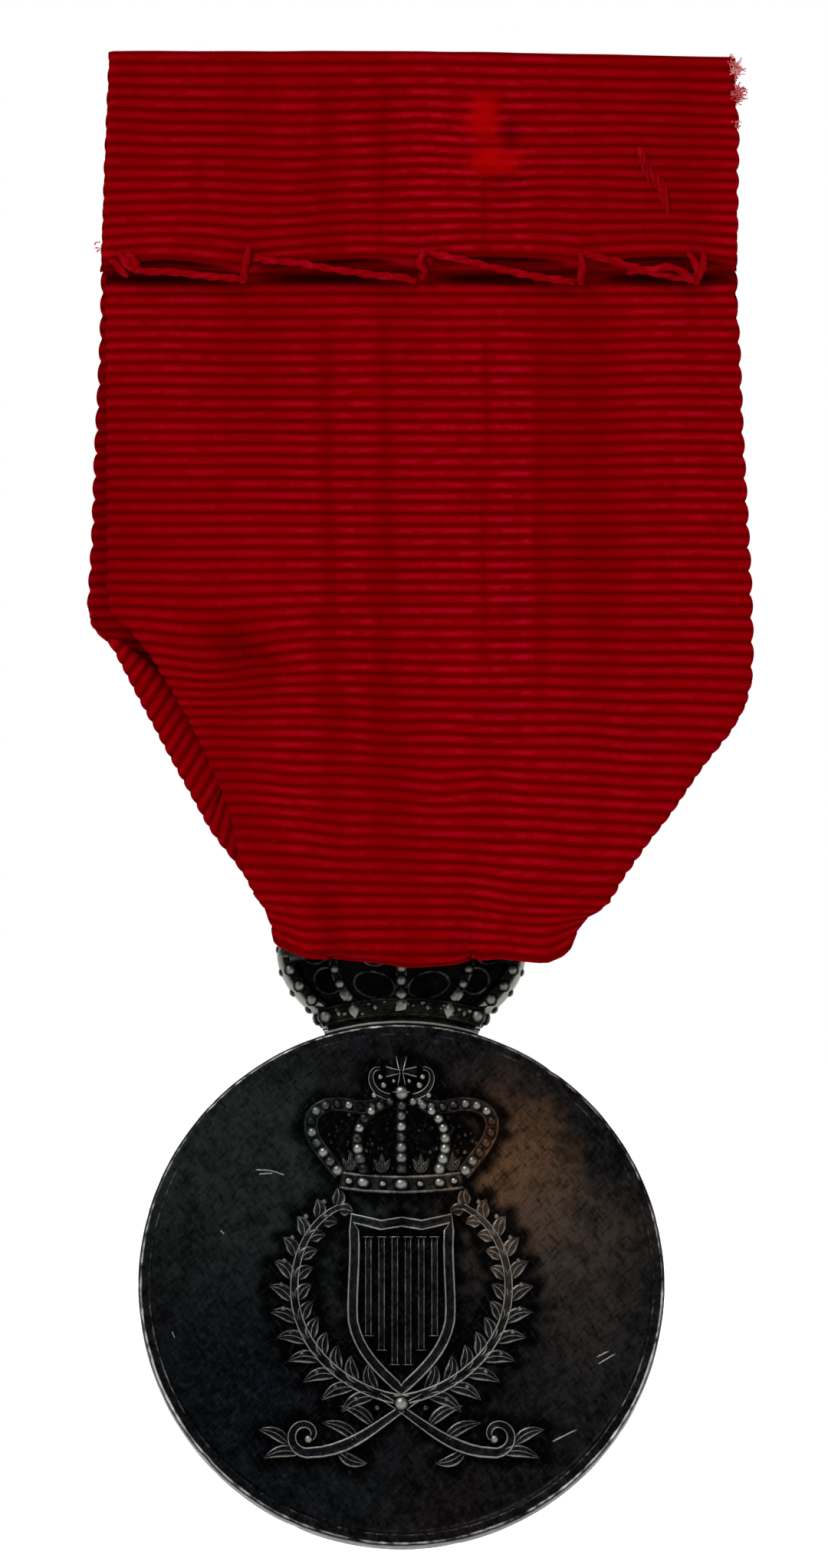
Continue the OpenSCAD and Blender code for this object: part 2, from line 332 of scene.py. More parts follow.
class Graph:
    """A material's node tree, with short names for the nodes that this scene uses."""

    def __init__(self, name):
        self.material = bpy.data.materials.new(name)
        self.material.use_nodes = True
        self.tree = self.material.node_tree
        self.shader = self.tree.nodes["Principled BSDF"]
        self.place = self.tree.nodes.new("ShaderNodeTexCoord").outputs["Object"]

    def put(self, socket, value):
        if isinstance(value, bpy.types.NodeSocket):
            self.tree.links.new(value, socket)
        else:
            socket.default_value = value

    def node(self, kind, inputs, output=0, **settings):
        made = self.tree.nodes.new(kind)
        for key, value in settings.items():
            setattr(made, key, value)
        for key, value in inputs.items():
            self.put(made.inputs[key], value)
        return made.outputs[output]

    def value(self, name):
        return self.node("ShaderNodeAttribute", {}, "Fac", attribute_name=name)

    def vector(self, *parts):
        return self.node("ShaderNodeCombineXYZ", dict(zip("XYZ", parts)))

    def math(self, what, a, b):
        return self.node("ShaderNodeMath", {0: a, 1: b}, operation=what)

    def times(self, a, b):
        return self.math("MULTIPLY", a, b)

    def about_zero(self, noise, size):
        """A noise moved to run about 0, and scaled."""
        return self.times(self.math("SUBTRACT", noise, 0.5), size)

    def scaled(self, scale, where=None):
        return self.node("ShaderNodeMapping", {"Vector": where or self.place, "Scale": scale})

    def noise(self, per_metre, detail=3.0, rough=0.5, where=None, distort=0.0):
        return self.node("ShaderNodeTexNoise", {"Vector": where or self.place, "Scale": per_metre,
                         "Detail": detail, "Roughness": rough, "Distortion": distort}, "Fac")

    def ramp(self, fac, low, high, start=0.0, end=1.0):
        return self.node("ShaderNodeMapRange", {"Value": fac, "From Min": low, "From Max": high,
                         "To Min": start, "To Max": end}, interpolation_type="SMOOTHSTEP")

    def mix(self, fac, a, b):
        made = self.tree.nodes.new("ShaderNodeMix")
        made.data_type = "RGBA"
        for socket, value in zip([made.inputs[0], made.inputs[6], made.inputs[7]], [fac, a, b]):
            self.put(socket, (*value, 1) if isinstance(value, tuple) else value)
        return made.outputs[2]

    def bump(self, height, distance, strength):
        normal = self.node("ShaderNodeBump", {"Height": height, "Distance": distance,
                           "Strength": strength})
        self.put(self.shader.inputs["Normal"], normal)

    def set(self, **values):
        for key, value in values.items():
            value = (*value, 1) if isinstance(value, tuple) else value
            self.put(self.shader.inputs[key.replace("_", " ")], value)
        return self.material


def patch(g, centre, radius):
    """1 at centre, fading to nothing at radius mm, with a clouded edge."""
    radius = radius * MM
    away = g.node("ShaderNodeVectorMath", {0: g.place, 1: tuple(np.array(centre) * MM)}, "Value",
                  operation="DISTANCE")
    cloud = g.about_zero(g.noise(210, 6, 0.6), radius)
    return g.ramp(g.math("ADD", away, cloud), radius * 0.15, radius, 1, 0)


def shade(colour, share):
    return tuple(c * share for c in colour)


SOOT = (0.0004, 0.0004, 0.0004)


def silver(name, black, bright, wear_start=0.35, patina=False):
    """Silver gone black, worn bright where the mesh says that it is proud; patina adds coloured clouds."""
    g = Graph(name)
    mottle = g.noise(900, 8, 0.65, distort=0.3)
    fine = g.noise(3400, 5, 0.65)
    broken = g.math("ADD", g.value("worn"), g.about_zero(mottle, 0.7))
    broken = g.math("ADD", broken, g.about_zero(fine, 0.5))
    worn = g.ramp(broken, wear_start, wear_start + 0.6)
    dark = g.mix(g.ramp(mottle, 0.36, 0.62), shade(black, 0.35), black)
    if patina:
        for centre, radius, share, tint in PATINA:
            strength = g.times(patch(g, centre, radius), share)
            dark = g.mix(g.times(strength, g.ramp(mottle, 0.34, 0.6, 0.4, 1)), dark, tint)
        dark = g.mix(g.ramp(fine, 0.4, 0.75, 0, 0.35), dark, shade(black, 2.6))
        dark = g.mix(g.ramp(fine, 0.5, 0.25, 0, 0.5), dark, (0.0008, 0.0008, 0.001))
        dark = g.mix(g.times(g.value("soot"), 0.93), dark, SOOT)
    # Hair-fine brushing, two ways, darkens and lightens the tarnish.
    for turn, tall in [(0.95, 5200), (-0.8, 6100)]:
        lined = g.node("ShaderNodeMapping", {"Vector": g.place, "Rotation": (0, turn, 0),
                       "Scale": (5, 1, 1)}, vector_type="TEXTURE")
        hair = g.noise(tall, 3, 0.6, lined)
        dark = g.mix(g.ramp(hair, 0.52, 0.28, 0, 0.6), dark, (0.0004, 0.0004, 0.0005))
        dark = g.mix(g.ramp(hair, 0.56, 0.74, 0, 0.32), dark, shade(black, 3.2))
    polished = g.mix(g.value("polish"), bright, (0.62, 0.61, 0.56))
    colour = g.mix(worn, dark, polished)
    rough = g.ramp(mottle, 0.2, 0.8, 0.4, 0.58)
    rough = g.math("SUBTRACT", rough, g.times(worn, 0.1))
    height = g.math("ADD", g.times(mottle, 0.7), g.times(fine, 0.3))
    g.bump(height, 0.00008, 0.6)
    return g.set(Base_Color=colour, Metallic=1.0, Roughness=rough)


def rep_cloth(name, groove, ridge, crest_highlight):
    """Ribbed silk: painted shade darkens the grooves, a painted pink highlight runs along the crowns of the
    ribs, fine warp across.
    """
    g = Graph(name)
    # Across and along the ribbon laid flat, in mm; warp threads 0.09 mm apart run over every rib.
    flat = g.vector(g.value("across"), g.value("along"), 0.0)
    warp = g.noise(1.0, 2, 0.5, g.scaled((11.0, 0.9, 1), flat))
    streak = g.noise(1.0, 3, 0.6, g.scaled((0.35, 0.045, 1), flat))
    rib_tone = g.noise(1.0, 2, 0.5, g.scaled((0.10, 1.47, 1), flat))
    rib_and_warp = g.math("ADD", g.value("rib"), g.about_zero(warp, 0.35))
    # Painted shade darkens the grooves between the ribs; where the cloth is watered the ribs are pressed
    # flat and this shade shows less.
    grooves = g.ramp(rib_and_warp, 0.05, 1.0)
    pressed = g.ramp(g.noise(1.0, 2, 0.5, g.scaled((0.16, 0.09, 1), flat)), 0.4, 0.7, 0.0, 0.28)
    colour = g.mix(g.math("MAXIMUM", grooves, pressed), groove, ridge)
    # A painted highlight, the weft's sheen, breaks into short dashes along the top of each rib.
    dashes = g.ramp(g.noise(1.0, 3, 0.6, g.scaled((0.8, 1.47, 1), flat)), 0.35, 0.62)
    sheen = g.times(g.value("watering_with_crease_shade"), g.ramp(rib_and_warp, 0.7, 1.0))
    colour = g.mix(g.times(g.times(sheen, dashes), 0.75), colour, crest_highlight)
    # Low watering darkens the cloth; along the crease low on the back this is painted shade.
    colour = g.mix(g.ramp(g.value("watering_with_crease_shade"), 0.45, 0.05, 0, 0.27), colour, groove)
    colour = g.mix(g.ramp(streak, 0.35, 0.75, 0, 0.28), colour, groove)
    colour = g.mix(g.ramp(rib_tone, 0.5, 0.85, 0, 0.3), colour, groove)
    colour = g.mix(g.value("rubbed"), colour, (0.19, 0.0003, 0.0003))
    # Torn spots, and the painted shade in the gap under the hem, go nearly black.
    colour = g.mix(g.value("torn_and_hem_shade"), colour, (0.01, 0.0, 0.0))
    height = g.math("ADD", g.times(warp, 0.8), g.times(g.noise(9000, 2), 0.3))
    g.bump(height, 0.00004, 0.8)
    return g.set(Base_Color=colour, Roughness=0.75, Specular_IOR_Level=0.0, Sheen_Weight=0.04,
                 Sheen_Roughness=0.5, Sheen_Tint=(0.7, 0.001, 0.02))


def thread_cloth(name, base, light):
    """Sewing thread: fibres along the twist."""
    g = Graph(name)
    fibre = g.noise(16000, 3, 0.6, g.scaled((0.35, 1, 1)))
    tone = g.noise(900, 2)
    colour = g.mix(g.ramp(fibre, 0.3, 0.7), shade(base, 0.55), base)
    colour = g.mix(g.ramp(tone, 0.45, 0.8, 0, 0.6), colour, light)
    g.bump(fibre, 0.00003, 0.8)
    return g.set(Base_Color=colour, Roughness=0.8, Specular_IOR_Level=0.0, Sheen_Weight=0.05,
                 Sheen_Tint=(1.0, 0.02, 0.06))


# Clouds of colour in the reverse's tarnish: x and z from the disc's middle, how far they reach,
# how strong they are and their colour.
PATINA = [(on_disc([x, -DISC_T / 2, z]), reach, share, tint) for x, z, reach, share, tint in [
    (-8.5, 7, 11, 0.9, (0.0100, 0.0138, 0.0128)), (-8, -7, 10, 0.85, (0.0010, 0.0020, 0.0036)),
    (5.5, 10.2, 5, 0.6, (0.026, 0.014, 0.012)), (6.5, 6.2, 5.8, 0.95, (0.078, 0.038, 0.017)),
    (9.2, 2.6, 7, 0.8, (0.036, 0.025, 0.019)), (11, -3, 6, 0.5, (0.016, 0.013, 0.012)),
    (3, -13, 5, 0.5, (0.006, 0.0025, 0.004)), (-3, 13, 4, 0.5, (0.006, 0.0035, 0.005))]]

SILVER_DISC = silver("tarnished_silver_disc", (0.0050, 0.0052, 0.0056), (0.14, 0.14, 0.127), patina=True)
SILVER_CROWN = silver("tarnished_silver_crown", (0.0075, 0.0075, 0.007), (0.13, 0.13, 0.117), 0.45)
SILVER_CAP = silver("tarnished_silver_cap", (0.0028, 0.0028, 0.0027), (0.075, 0.075, 0.068), 0.45)
SILVER_WIRE = silver("tarnished_silver_wire", (0.012, 0.012, 0.011), (0.12, 0.12, 0.11), 0.2)
# The first colour darkens the grooves as painted shade, and also the streaks; the third is a painted
# highlight along the ribs' crowns.
REP = rep_cloth("crimson_rep", (0.052, 0.0, 0.0), (0.116, 0.0, 0.0005), (0.205, 0.0008, 0.0075))
THREAD = thread_cloth("crimson_thread", (0.155, 0.0002, 0.0014), (0.22, 0.0018, 0.008))
FRAY = thread_cloth("faded_fibre", (0.42, 0.07, 0.07), (0.66, 0.4, 0.37))


# ---------------------------------------------------------------- the ribbon

# The ribbon laid flat, one rib of it, and the rows of points that draw a rib.
WIDTH = 37.5
RIB = 0.68
ROW = RIB / 5
# The flap's hem, and the end that is tucked up behind the flap.
HEM_Z = -11.0
TUCKED_Z = -3.0
UNDER_Y = -0.25
# The folds round the top and the foot, to the middle of the cloth, and their centres' heights.
TOP_R = 0.675
FOOT_R = 1.325
TOP_Z = RIBBON_HIGH[2] - 0.85
FOOT_Z = RIBBON_LOW[2] + 1.5
# The fold along an edge that is turned in, and the columns that draw the fold and what is beyond it.
FOLD_R = 0.28
CURL_COLUMNS = 5
TUCK_COLUMNS = 2
# The selvedge's width, and the run from one of its beads to the next.
SELVEDGE = 0.6
SCALLOP = 1.35


def ribbon_loop():
    """The ribbon's run seen from its side, as (y, z) points, and the length at which each stretch ends."""
    stretches = [[(-TOP_R, HEM_Z), (-TOP_R, TOP_Z)],
                 arc((0, TOP_Z), TOP_R, 180, 0, 40),
                 [(TOP_R, TOP_Z), (FOOT_R, FOOT_Z)],
                 arc((0, FOOT_Z), FOOT_R, 0, -180, 60),
                 [(-FOOT_R, FOOT_Z), (UNDER_Y, HEM_Z)],
                 [(UNDER_Y, HEM_Z), (UNDER_Y, TUCKED_Z)]]
    ends = np.cumsum([np.linalg.norm(np.diff(s, axis=0), axis=1).sum() for s in stretches])
    points = np.concatenate([stretches[0]] + [s[1:] for s in stretches[1:]])
    return resample(points, 0.03), ends


LOOP, ENDS = ribbon_loop()
FLAP_TOP, FRONT_TOP, FRONT_FOOT, BACK_FOOT, BACK_TOP, TUCKED_END = ENDS
LOOP_S = np.linspace(0, TUCKED_END, len(LOOP))
LOOP_T = unit(np.gradient(LOOP, axis=0))


def on_loop(s):
    """y and z at a length along the loop, and the direction in towards its middle."""
    y, z, ty, tz = (np.interp(s, LOOP_S, line) for line in [*LOOP.T, *LOOP_T.T])
    return y, z, tz, -ty


def front(z):
    """Length along the loop at height z on the front layer."""
    return np.interp(z, [FOOT_Z, TOP_Z], [FRONT_FOOT, FRONT_TOP])


def back(z):
    return np.interp(z, [FOOT_Z, HEM_Z], [BACK_FOOT, BACK_TOP])


# The ribbon is drawn in to this width between the lugs.
NECK_LEFT, NECK_RIGHT = PIVOT[0] - 4.85, PIVOT[0] + 4.85
# Where the back layer, past the bar, is free to spread out behind the lugs.
SPREAD = BACK_FOOT - FOOT_R * math.radians(95)
# The ears hang this far back, out of the lugs' way as the medal swings. They have turned up
# again, round this radius, at this length past SPREAD.
EAR_Y = -1.47
EAR_R = 0.19
EAR_TURN = 1.2

def edge_knots(flap, front_rows, neck, spread, back_rows, end):
    """One edge of the ribbon as knots along its loop.

    Each knot has a length along the loop, the outermost x, how far the edge is folded in (0 to 1), and
    how much of the width beyond the fold is tucked in behind it (0 to 1). The rows on the front and back
    layers are given with a height in place of the length.
    """
    return (flap + [(front(z), *row) for z, *row in front_rows]
            + [(FRONT_FOOT, neck, 0, 0), (SPREAD, neck, 0, 0), (SPREAD + 0.7, spread, 0, 0)]
            + [(back(z), *row) for z, *row in back_rows] + [(TUCKED_END, end, 0, 0)])


LEFT_EDGE = edge_knots(
    [(0, -18.78, 0, 0), (FLAP_TOP, -18.25, 0, 0)],
    [(-5, -18.6, 0, 0), (-14.9, -18.85, 0, 0), (-22.1, -19.2, 0, 0), (-26.7, -19.35, 0, 0),
     (-30.5, -19.57, 0.05, 0), (-32, -19.2, 0.75, 0), (-32.9, -18.1, 1, 1), (-35.2, -16.95, 1, 1),
     (-39.4, -14.7, 1, 1), (-43.7, -12.3, 1, 1), (-46.6, -10.1, 1, 1), (-48.3, -8.4, 0.5, 0),
     (-49.4, NECK_LEFT, 0.2, 0)],
    NECK_LEFT, -8.5,
    [(-49.2, -8.95, 0.4, 0), (-47.9, -9.6, 1, 0), (-46, -10.45, 1, 0.7), (-43.2, -11.1, 1, 1),
     (-40.3, -12.3, 1, 1), (-38, -13.3, 1, 1), (-35.1, -14.7, 1, 1), (-33.3, -15.8, 1, 1),
     (-31.9, -16.95, 1, 0.8), (-31, -18.1, 0.6, 0), (-30, -18.35, 0.05, 0), (-27.6, -18.4, 0, 0),
     (-12, -18.5, 0, 0)], -18.4)
RIGHT_EDGE = edge_knots(
    [(0, 18.55, 0, 0), (2.4, 18.67, 0, 0), (8.8, 18.76, 0, 0), (FLAP_TOP, 18.5, 0, 0)],
    [(-20, 18.75, 0, 0), (-33, 18.95, 0.05, 0), (-34.6, 18.7, 0.75, 0), (-36, 18.0, 1, 1),
     (-44.4, 12.9, 1, 1), (-46.6, 11.2, 1, 1), (-48.3, 8.7, 0.5, 0), (-49.4, NECK_RIGHT, 0.2, 0)],
    NECK_RIGHT, 8.7,
    [(-48.7, 9.95, 0.4, 0), (-47.3, 10.9, 0.9, 0), (-45.5, 12.05, 1, 0.7), (-43.8, 13.3, 1, 1),
     (-41.7, 15.0, 1, 1), (-39.2, 16.7, 1, 1), (-37.4, 18.2, 1, 0.8), (-36.3, 19.0, 0.8, 0),
     (-34.6, 19.5, 0.1, 0), (-33, 19.6, 0, 0), (-29.4, 19.5, 0, 0), (-24.8, 19.25, 0, 0),
     (-20.3, 19.0, 0, 0), (-14.9, 18.8, 0, 0), (-11.7, 18.5, 0, 0)], 18.5)

# The outline of the ribbon's foot, seen from behind: x and z.
FOOT_LINE = [(-9.4, -50.1), (-8.4, -50.55), (-6.7, -51.3), (-4.2, -51.6), (-2.2, -51.8), (-0.7, -52.05),
             (1.85, -51.9), (3.4, -51.45), (4.9, -51.3), (6.2, -51.5), (7.4, -51.6), (8.2, -51.25),
             (8.9, -50.85), (9.6, -50.45), (10.4, -50.1)]

# Watered bands down the cloth: from this x to this, and how much brighter than the rest, or darker.
WATERED = [(-8.5, -6.1, 0.3), (-6.1, -4.4, -0.6), (-4.4, -3.1, 0.6), (-3.1, -1.6, -0.5), (-1.6, 3.5, 0.4),
           (3.5, 4.2, -0.6), (4.2, 6.5, 0.6), (6.5, 7.5, -0.4)]


def soften(values, reach):
    """A running mean over reach mm of rows."""
    n = max(1, int(reach / ROW)) | 1
    padded = np.concatenate([np.full(n // 2, values[0]), values, np.full(n // 2, values[-1])])
    return np.convolve(padded, np.full(n, 1 / n), "valid")


def ribbon_side(s, knots, sign):
    """One edge of the ribbon: columns of x, shift along the loop, depth inwards and flat width."""
    k = np.array(knots, float)
    outer, folded, full = (soften(np.interp(s, k[:, 0], k[:, i]), 0.9) for i in (1, 2, 3))
    edge = outer - sign * (SELVEDGE * (1 - folded) + FOLD_R * folded)
    spare = SELVEDGE + full * np.clip(WIDTH / 2 - np.abs(edge) - SELVEDGE, 0, None)
    slope = np.gradient(edge, s)
    a, b = slope / np.hypot(1, slope), 1 / np.hypot(1, slope)
    curl = 0.9 * spare / (spare + 0.4)
    columns = []
    for i in range(1, CURL_COLUMNS + TUCK_COLUMNS + 1):
        extra = (curl * i / CURL_COLUMNS if i <= CURL_COLUMNS
                 else curl + (spare - curl) * (i - CURL_COLUMNS) / TUCK_COLUMNS)
        beyond = sign * extra * a
        steps = np.linspace(0, 1, 25)[:, None] * (extra * b)
        turn = folded * np.minimum(steps / FOLD_R, math.pi)
        out, deep = (np.trapz(f(turn), steps, axis=0) for f in (np.cos, np.sin))
        beads = np.abs(np.cos(math.pi * s / SCALLOP)) ** 0.6 - 0.65
        scallop = 0.22 * beads * (1 - folded) * smooth(extra / spare)
        columns.append((edge + beyond * a + (out + scallop) * sign * b, beyond * b - out * sign * a, deep,
                        sign * (WIDTH / 2 - spare + extra)))
    return edge, spare, columns


def folded_sheet():
    """The middle of the cloth, laid round its loop with its edges folded in: x, y, z, along and across."""
    s = np.arange(int(TUCKED_END / ROW) + 1) * ROW
    left, left_spare, left_columns = ribbon_side(s, LEFT_EDGE, -1)
    right, right_spare, right_columns = ribbon_side(s, RIGHT_EDGE, 1)
    # Columns across the face stand closer together where the pin has worn it.
    share = np.concatenate([np.linspace(0, 0.56, 19), np.linspace(0.56, 0.70, 11)[1:],
                            np.linspace(0.70, 1, 11)[1:]])
    middle = [(left + (right - left) * v, 0 * s, 0 * s,
               (left_spare - WIDTH / 2) * (1 - v) + (WIDTH / 2 - right_spare) * v) for v in share]
    x, shift, deep, across = (np.stack(c, 1) for c in zip(*(left_columns[::-1] + middle + right_columns)))
    along = np.broadcast_to(s[:, None], x.shape)
    y, z, ny, nz = on_loop(np.clip(s[:, None] + shift, 0, TUCKED_END))
    return x, y + deep * ny, z + deep * nz, along, across


def hang_ears(x, y, z, along):
    """Ears of ribbon hang outside the lugs: down, round the foot's outline and up again."""
    foot = np.interp(x, *np.array(FOOT_LINE).T)
    past = along - SPREAD
    sideways = np.abs(x - PIVOT[0])
    ear = ramp(sideways, 4.15, 4.7) * (past > -0.5)
    angle = np.clip(2 * past / EAR_TURN - 1, 0, 1) * math.pi
    down_y = EAR_Y - EAR_R * (1 - np.cos(angle))
    down_z = foot + EAR_R * (1 - np.sin(angle)) + (FOOT_Z - 1.2 - foot) * (1 - ramp(past, -0.5, 0.6))
    sag = ear * (1 - ear) * (1 - ramp(past, 0.7, EAR_TURN))
    # Above the turn the ear fades into the back layer, which starts from a nearly level line.
    up_y = y + (EAR_Y - 2 * EAR_R - y) * (1 - ramp(past, EAR_TURN, 12))
    level = -51.5 - 0.03 * (x + 1)
    lift = (level + EAR_R - on_loop(SPREAD + EAR_TURN)[1]) * (1 - ramp(past, EAR_TURN, 11))
    lift = lift + (foot - level) * (1 - ramp(past, EAR_TURN, EAR_TURN + 3.6))
    up_z = z + lift * ramp(sideways, 3.2, 6.8)
    turning = past < EAR_TURN
    y = y + ear * (np.where(turning, down_y, up_y) - y)
    z = z + np.where(turning, ear * (down_z - z) - sag, (past > 0) * (up_z - z))
    # Between the lugs the fold hangs down in the middle.
    under = np.clip((FOOT_Z - z) / FOOT_R, 0, 1) ** 2 * (1 - ear) * (along > FRONT_FOOT - 1)
    return y, z + (foot - RIBBON_LOW[2]) * under


def crumple(x, y, z, along, on_back, on_front):
    """The cloth isn't flat: it has slow waves, and dents and a crease low on the left of the back."""
    wave = noise(x / 8, z / 10, 1) + 0.5 * noise(x / 3, z / 5, 2)
    y = y + wave * (0.10 * on_back + 0.14 * on_front)
    y = y + 0.5 * spot(x + 0.35 * (z + 34), z, (-11.2, -34.2), (2.6, 2.1)) * on_back
    y = y + 1.1 * spot(x + z, x - z, (-43.3, 23.6), (0.9, 3.6)) * on_back
    y = y - 0.3 * spot(x, z, (-15.5, -31.5), (1.6, 2.2)) * on_back
    z = z - 0.6 * spot(x, z, (-12.2, -33.5), (3.4, 2.8)) * on_back
    z = z + 0.12 * noise(x / 5, along / 12, 3) * (on_back + on_front)
    # The fold at the top droops to the right.
    z = z - 0.019 * np.clip(x, 0, None) * ramp(z, -9, 1.5)
    # The ribs slope and ripple more towards the foot of the back.
    low = ramp(z, -30, -43) * ramp(along, BACK_FOOT + 0.3, BACK_FOOT + 3.5)
    return y, z + low * (0.17 * noise(x / 2.8, along / 3.2, 18) - 0.042 * (x + 1))


def hem_slack(x):
    """0 at the hem's four stitches and 1 midway between them."""
    return np.abs(np.sin(math.pi * (x + 10.3) / 9.9)) ** 0.8


def lift_hem(x, y, z, along, on_flap):
    """Between its stitches the hem lifts and its ribs bow up; at each stitch it is drawn in."""
    near_hem = bump(along, 0, 3.2) * (along < FLAP_TOP)
    slack = hem_slack(x)
    y = y - 0.3 * slack * near_hem
    z = z + (0.36 * slack - 0.12) * near_hem
    z = z + (0.2 * noise(x / 6, along / 7, 9) + 0.1 * noise(x / 2.5, along / 4, 10)) * on_flap
    return y + 0.16 * slack * bump(z, HEM_Z - 0.3, 0.55) * (along > BACK_FOOT), z


def pin_wear(x, z, along):
    """The pin has rubbed the flap smooth in two spots and broken the ribs beside them."""
    ragged = noise(x * 1.6, z * 1.8, 6)
    warped = x + 0.35 * ragged
    rubbed = np.maximum(np.exp(-(((warped - 3.8) / 0.75) ** 4) - (((z + 2.0) / 1.35) ** 4)),
                        np.exp(-(((warped - 4.5) / 1.35) ** 4) - (((z + 4.5) / 0.8) ** 4)))
    torn = spot(x, z, (5.35, -3.0), (0.5, 0.8)) + spot(x, z, (5.1, -5.55), (0.8, 0.35))
    rubbed = rubbed * (along < FLAP_TOP)
    torn = np.clip(torn * (0.55 + 0.5 * ragged), 0, 0.7) * (along < FLAP_TOP)
    return rubbed, rubbed * (0.75 + 0.25 * ragged), torn


def watering(x, z, along, across, on_back, on_flap):
    """Columns where the ribs lie over and catch less light, and brighter ones between, and painted shade
    along the crease low on the left of the back.
    """
    watering_with_crease_shade = 0.45 + 0.32 * noise(across / 3, along / 14, 8)
    shown = np.maximum(on_back * (1 - 0.75 * ramp(z, -33, -41)), 0.7 * on_flap)
    for low, high, strength in WATERED:
        inside = ramp(x, low - 0.3, low + 0.3) * (1 - ramp(x, high - 0.3, high + 0.3))
        watering_with_crease_shade = watering_with_crease_shade + strength * inside * shown
    # Painted shade darkens the upper side of the crease low on the left of the back.
    return np.clip(watering_with_crease_shade - 0.8 * on_back * spot(x + z, x - z, (-43.9, 23.6), (1.6, 3.8)), 0, 1)


def thick_sheet(name, middle, half, values):
    """A closed sheet with a face on each side of its middle surface, half away from it."""
    normal = unit(np.cross(np.gradient(middle, axis=1), np.gradient(middle, axis=0)))
    offset = normal * half[..., None]
    ring = np.concatenate([middle + offset, (middle - offset)[:, ::-1]], 1)
    rows, cols = ring.shape[:2]
    faces = [tuple(f) for f in grid_faces(rows, cols, False, True)]
    last = (rows - 1) * cols
    for outer in range(cols // 2 - 1):
        inner = cols - 1 - outer
        faces.append((outer, inner, inner - 1, outer + 1))
        faces.append((last + outer, last + outer + 1, last + inner - 1, last + inner))
    both = {key: np.concatenate([value, value[:, ::-1]], 1) for key, value in values.items()}
    return new_mesh(name, ring.reshape(-1, 3) * MM, faces, both)


def ribbon_piece():
    x, y, z, along, across = folded_sheet()
    y, z = hang_ears(x, y, z, along)
    on_back = ramp(along, BACK_FOOT + 2, BACK_FOOT + 8) * (1 - ramp(along, BACK_TOP - 6, BACK_TOP - 1))
    on_front = ramp(along, FRONT_TOP, FRONT_TOP + 6) * (1 - ramp(along, FRONT_FOOT - 8, FRONT_FOOT - 2))
    on_flap = (along < FLAP_TOP) * ramp(along, 12.5, 9.5)
    y, z = crumple(x, y, z, along, on_back, on_front)
    y, z = lift_hem(x, y, z, along, on_flap)

    # One rib is one thick weft: round on top, with a sharp groove between it and the next.
    phase = along / RIB + 0.05 * noise(across / 5, along / 9, 4)
    rib = np.abs(np.sin(math.pi * phase)) ** 0.8
    uneven = 1 + 0.22 * noise(across / 2.5, np.floor(along / RIB) * 0.7, 5)
    half = 0.07 + 0.115 * rib * uneven
    half *= 1 - 0.3 * ramp(np.abs(across), WIDTH / 2 - 0.25, WIDTH / 2)
    worn, rubbed, torn = pin_wear(x, z, along)
    half = np.maximum(half + (0.13 - half) * 0.85 * worn - 0.1 * torn, 0.03)

    # Painted shade darkens the cloth that the lifted hem covers between its stitches, and the hem's own
    # edge.
    hem_gap_shade = bump(z, HEM_Z - 0.42, 0.31) * (along > BACK_FOOT) + bump(along, 0.3, 0.2)
    torn_and_hem_shade = np.clip(np.maximum(torn, 1.5 * hem_slack(x) * hem_gap_shade), 0, 1)
    values = {"rib": rib, "watering_with_crease_shade": watering(x, z, along, across, on_back, on_flap), "rubbed": rubbed,
              "torn_and_hem_shade": torn_and_hem_shade, "across": across, "along": along}
    piece = thick_sheet("ribbon_strip", np.stack([x, y, z], -1), half, values)
    finish_piece(piece, "ribbon", REP, ["ribbon"])


ribbon_piece()


# ---------------------------------------------------------------- thread and loose fibres

def flowing(points, step=0.09):
    """A smooth run through given points."""
    points = np.array(points, float)
    run = lengths_along(points)
    at = np.linspace(0, run[-1], max(6, int(run[-1] / step)))
    return np.stack([through(np.stack([run, line], 1), at) for line in points.T], -1)


def twisted(pile, points, ply=0.165, lay=2.3):
    """Sewing thread of two plies laid round each other."""
    path = flowing(points)
    side, top = side_frames(path, (0, 1, 0.01))
    for start in [0, math.pi]:
        run = lengths_along(path)
        turn = (start + 2 * math.pi * run / lay)[:, None]
        strand = path + 0.075 * (side * np.cos(turn) + top * np.sin(turn))
        tube(pile, strand, ply * (1 + 0.08 * np.sin(run * 9 + start)), 6, worn=0.5)


# Where the thread lies on the flap, as y.
ON_FLAP = -1.12


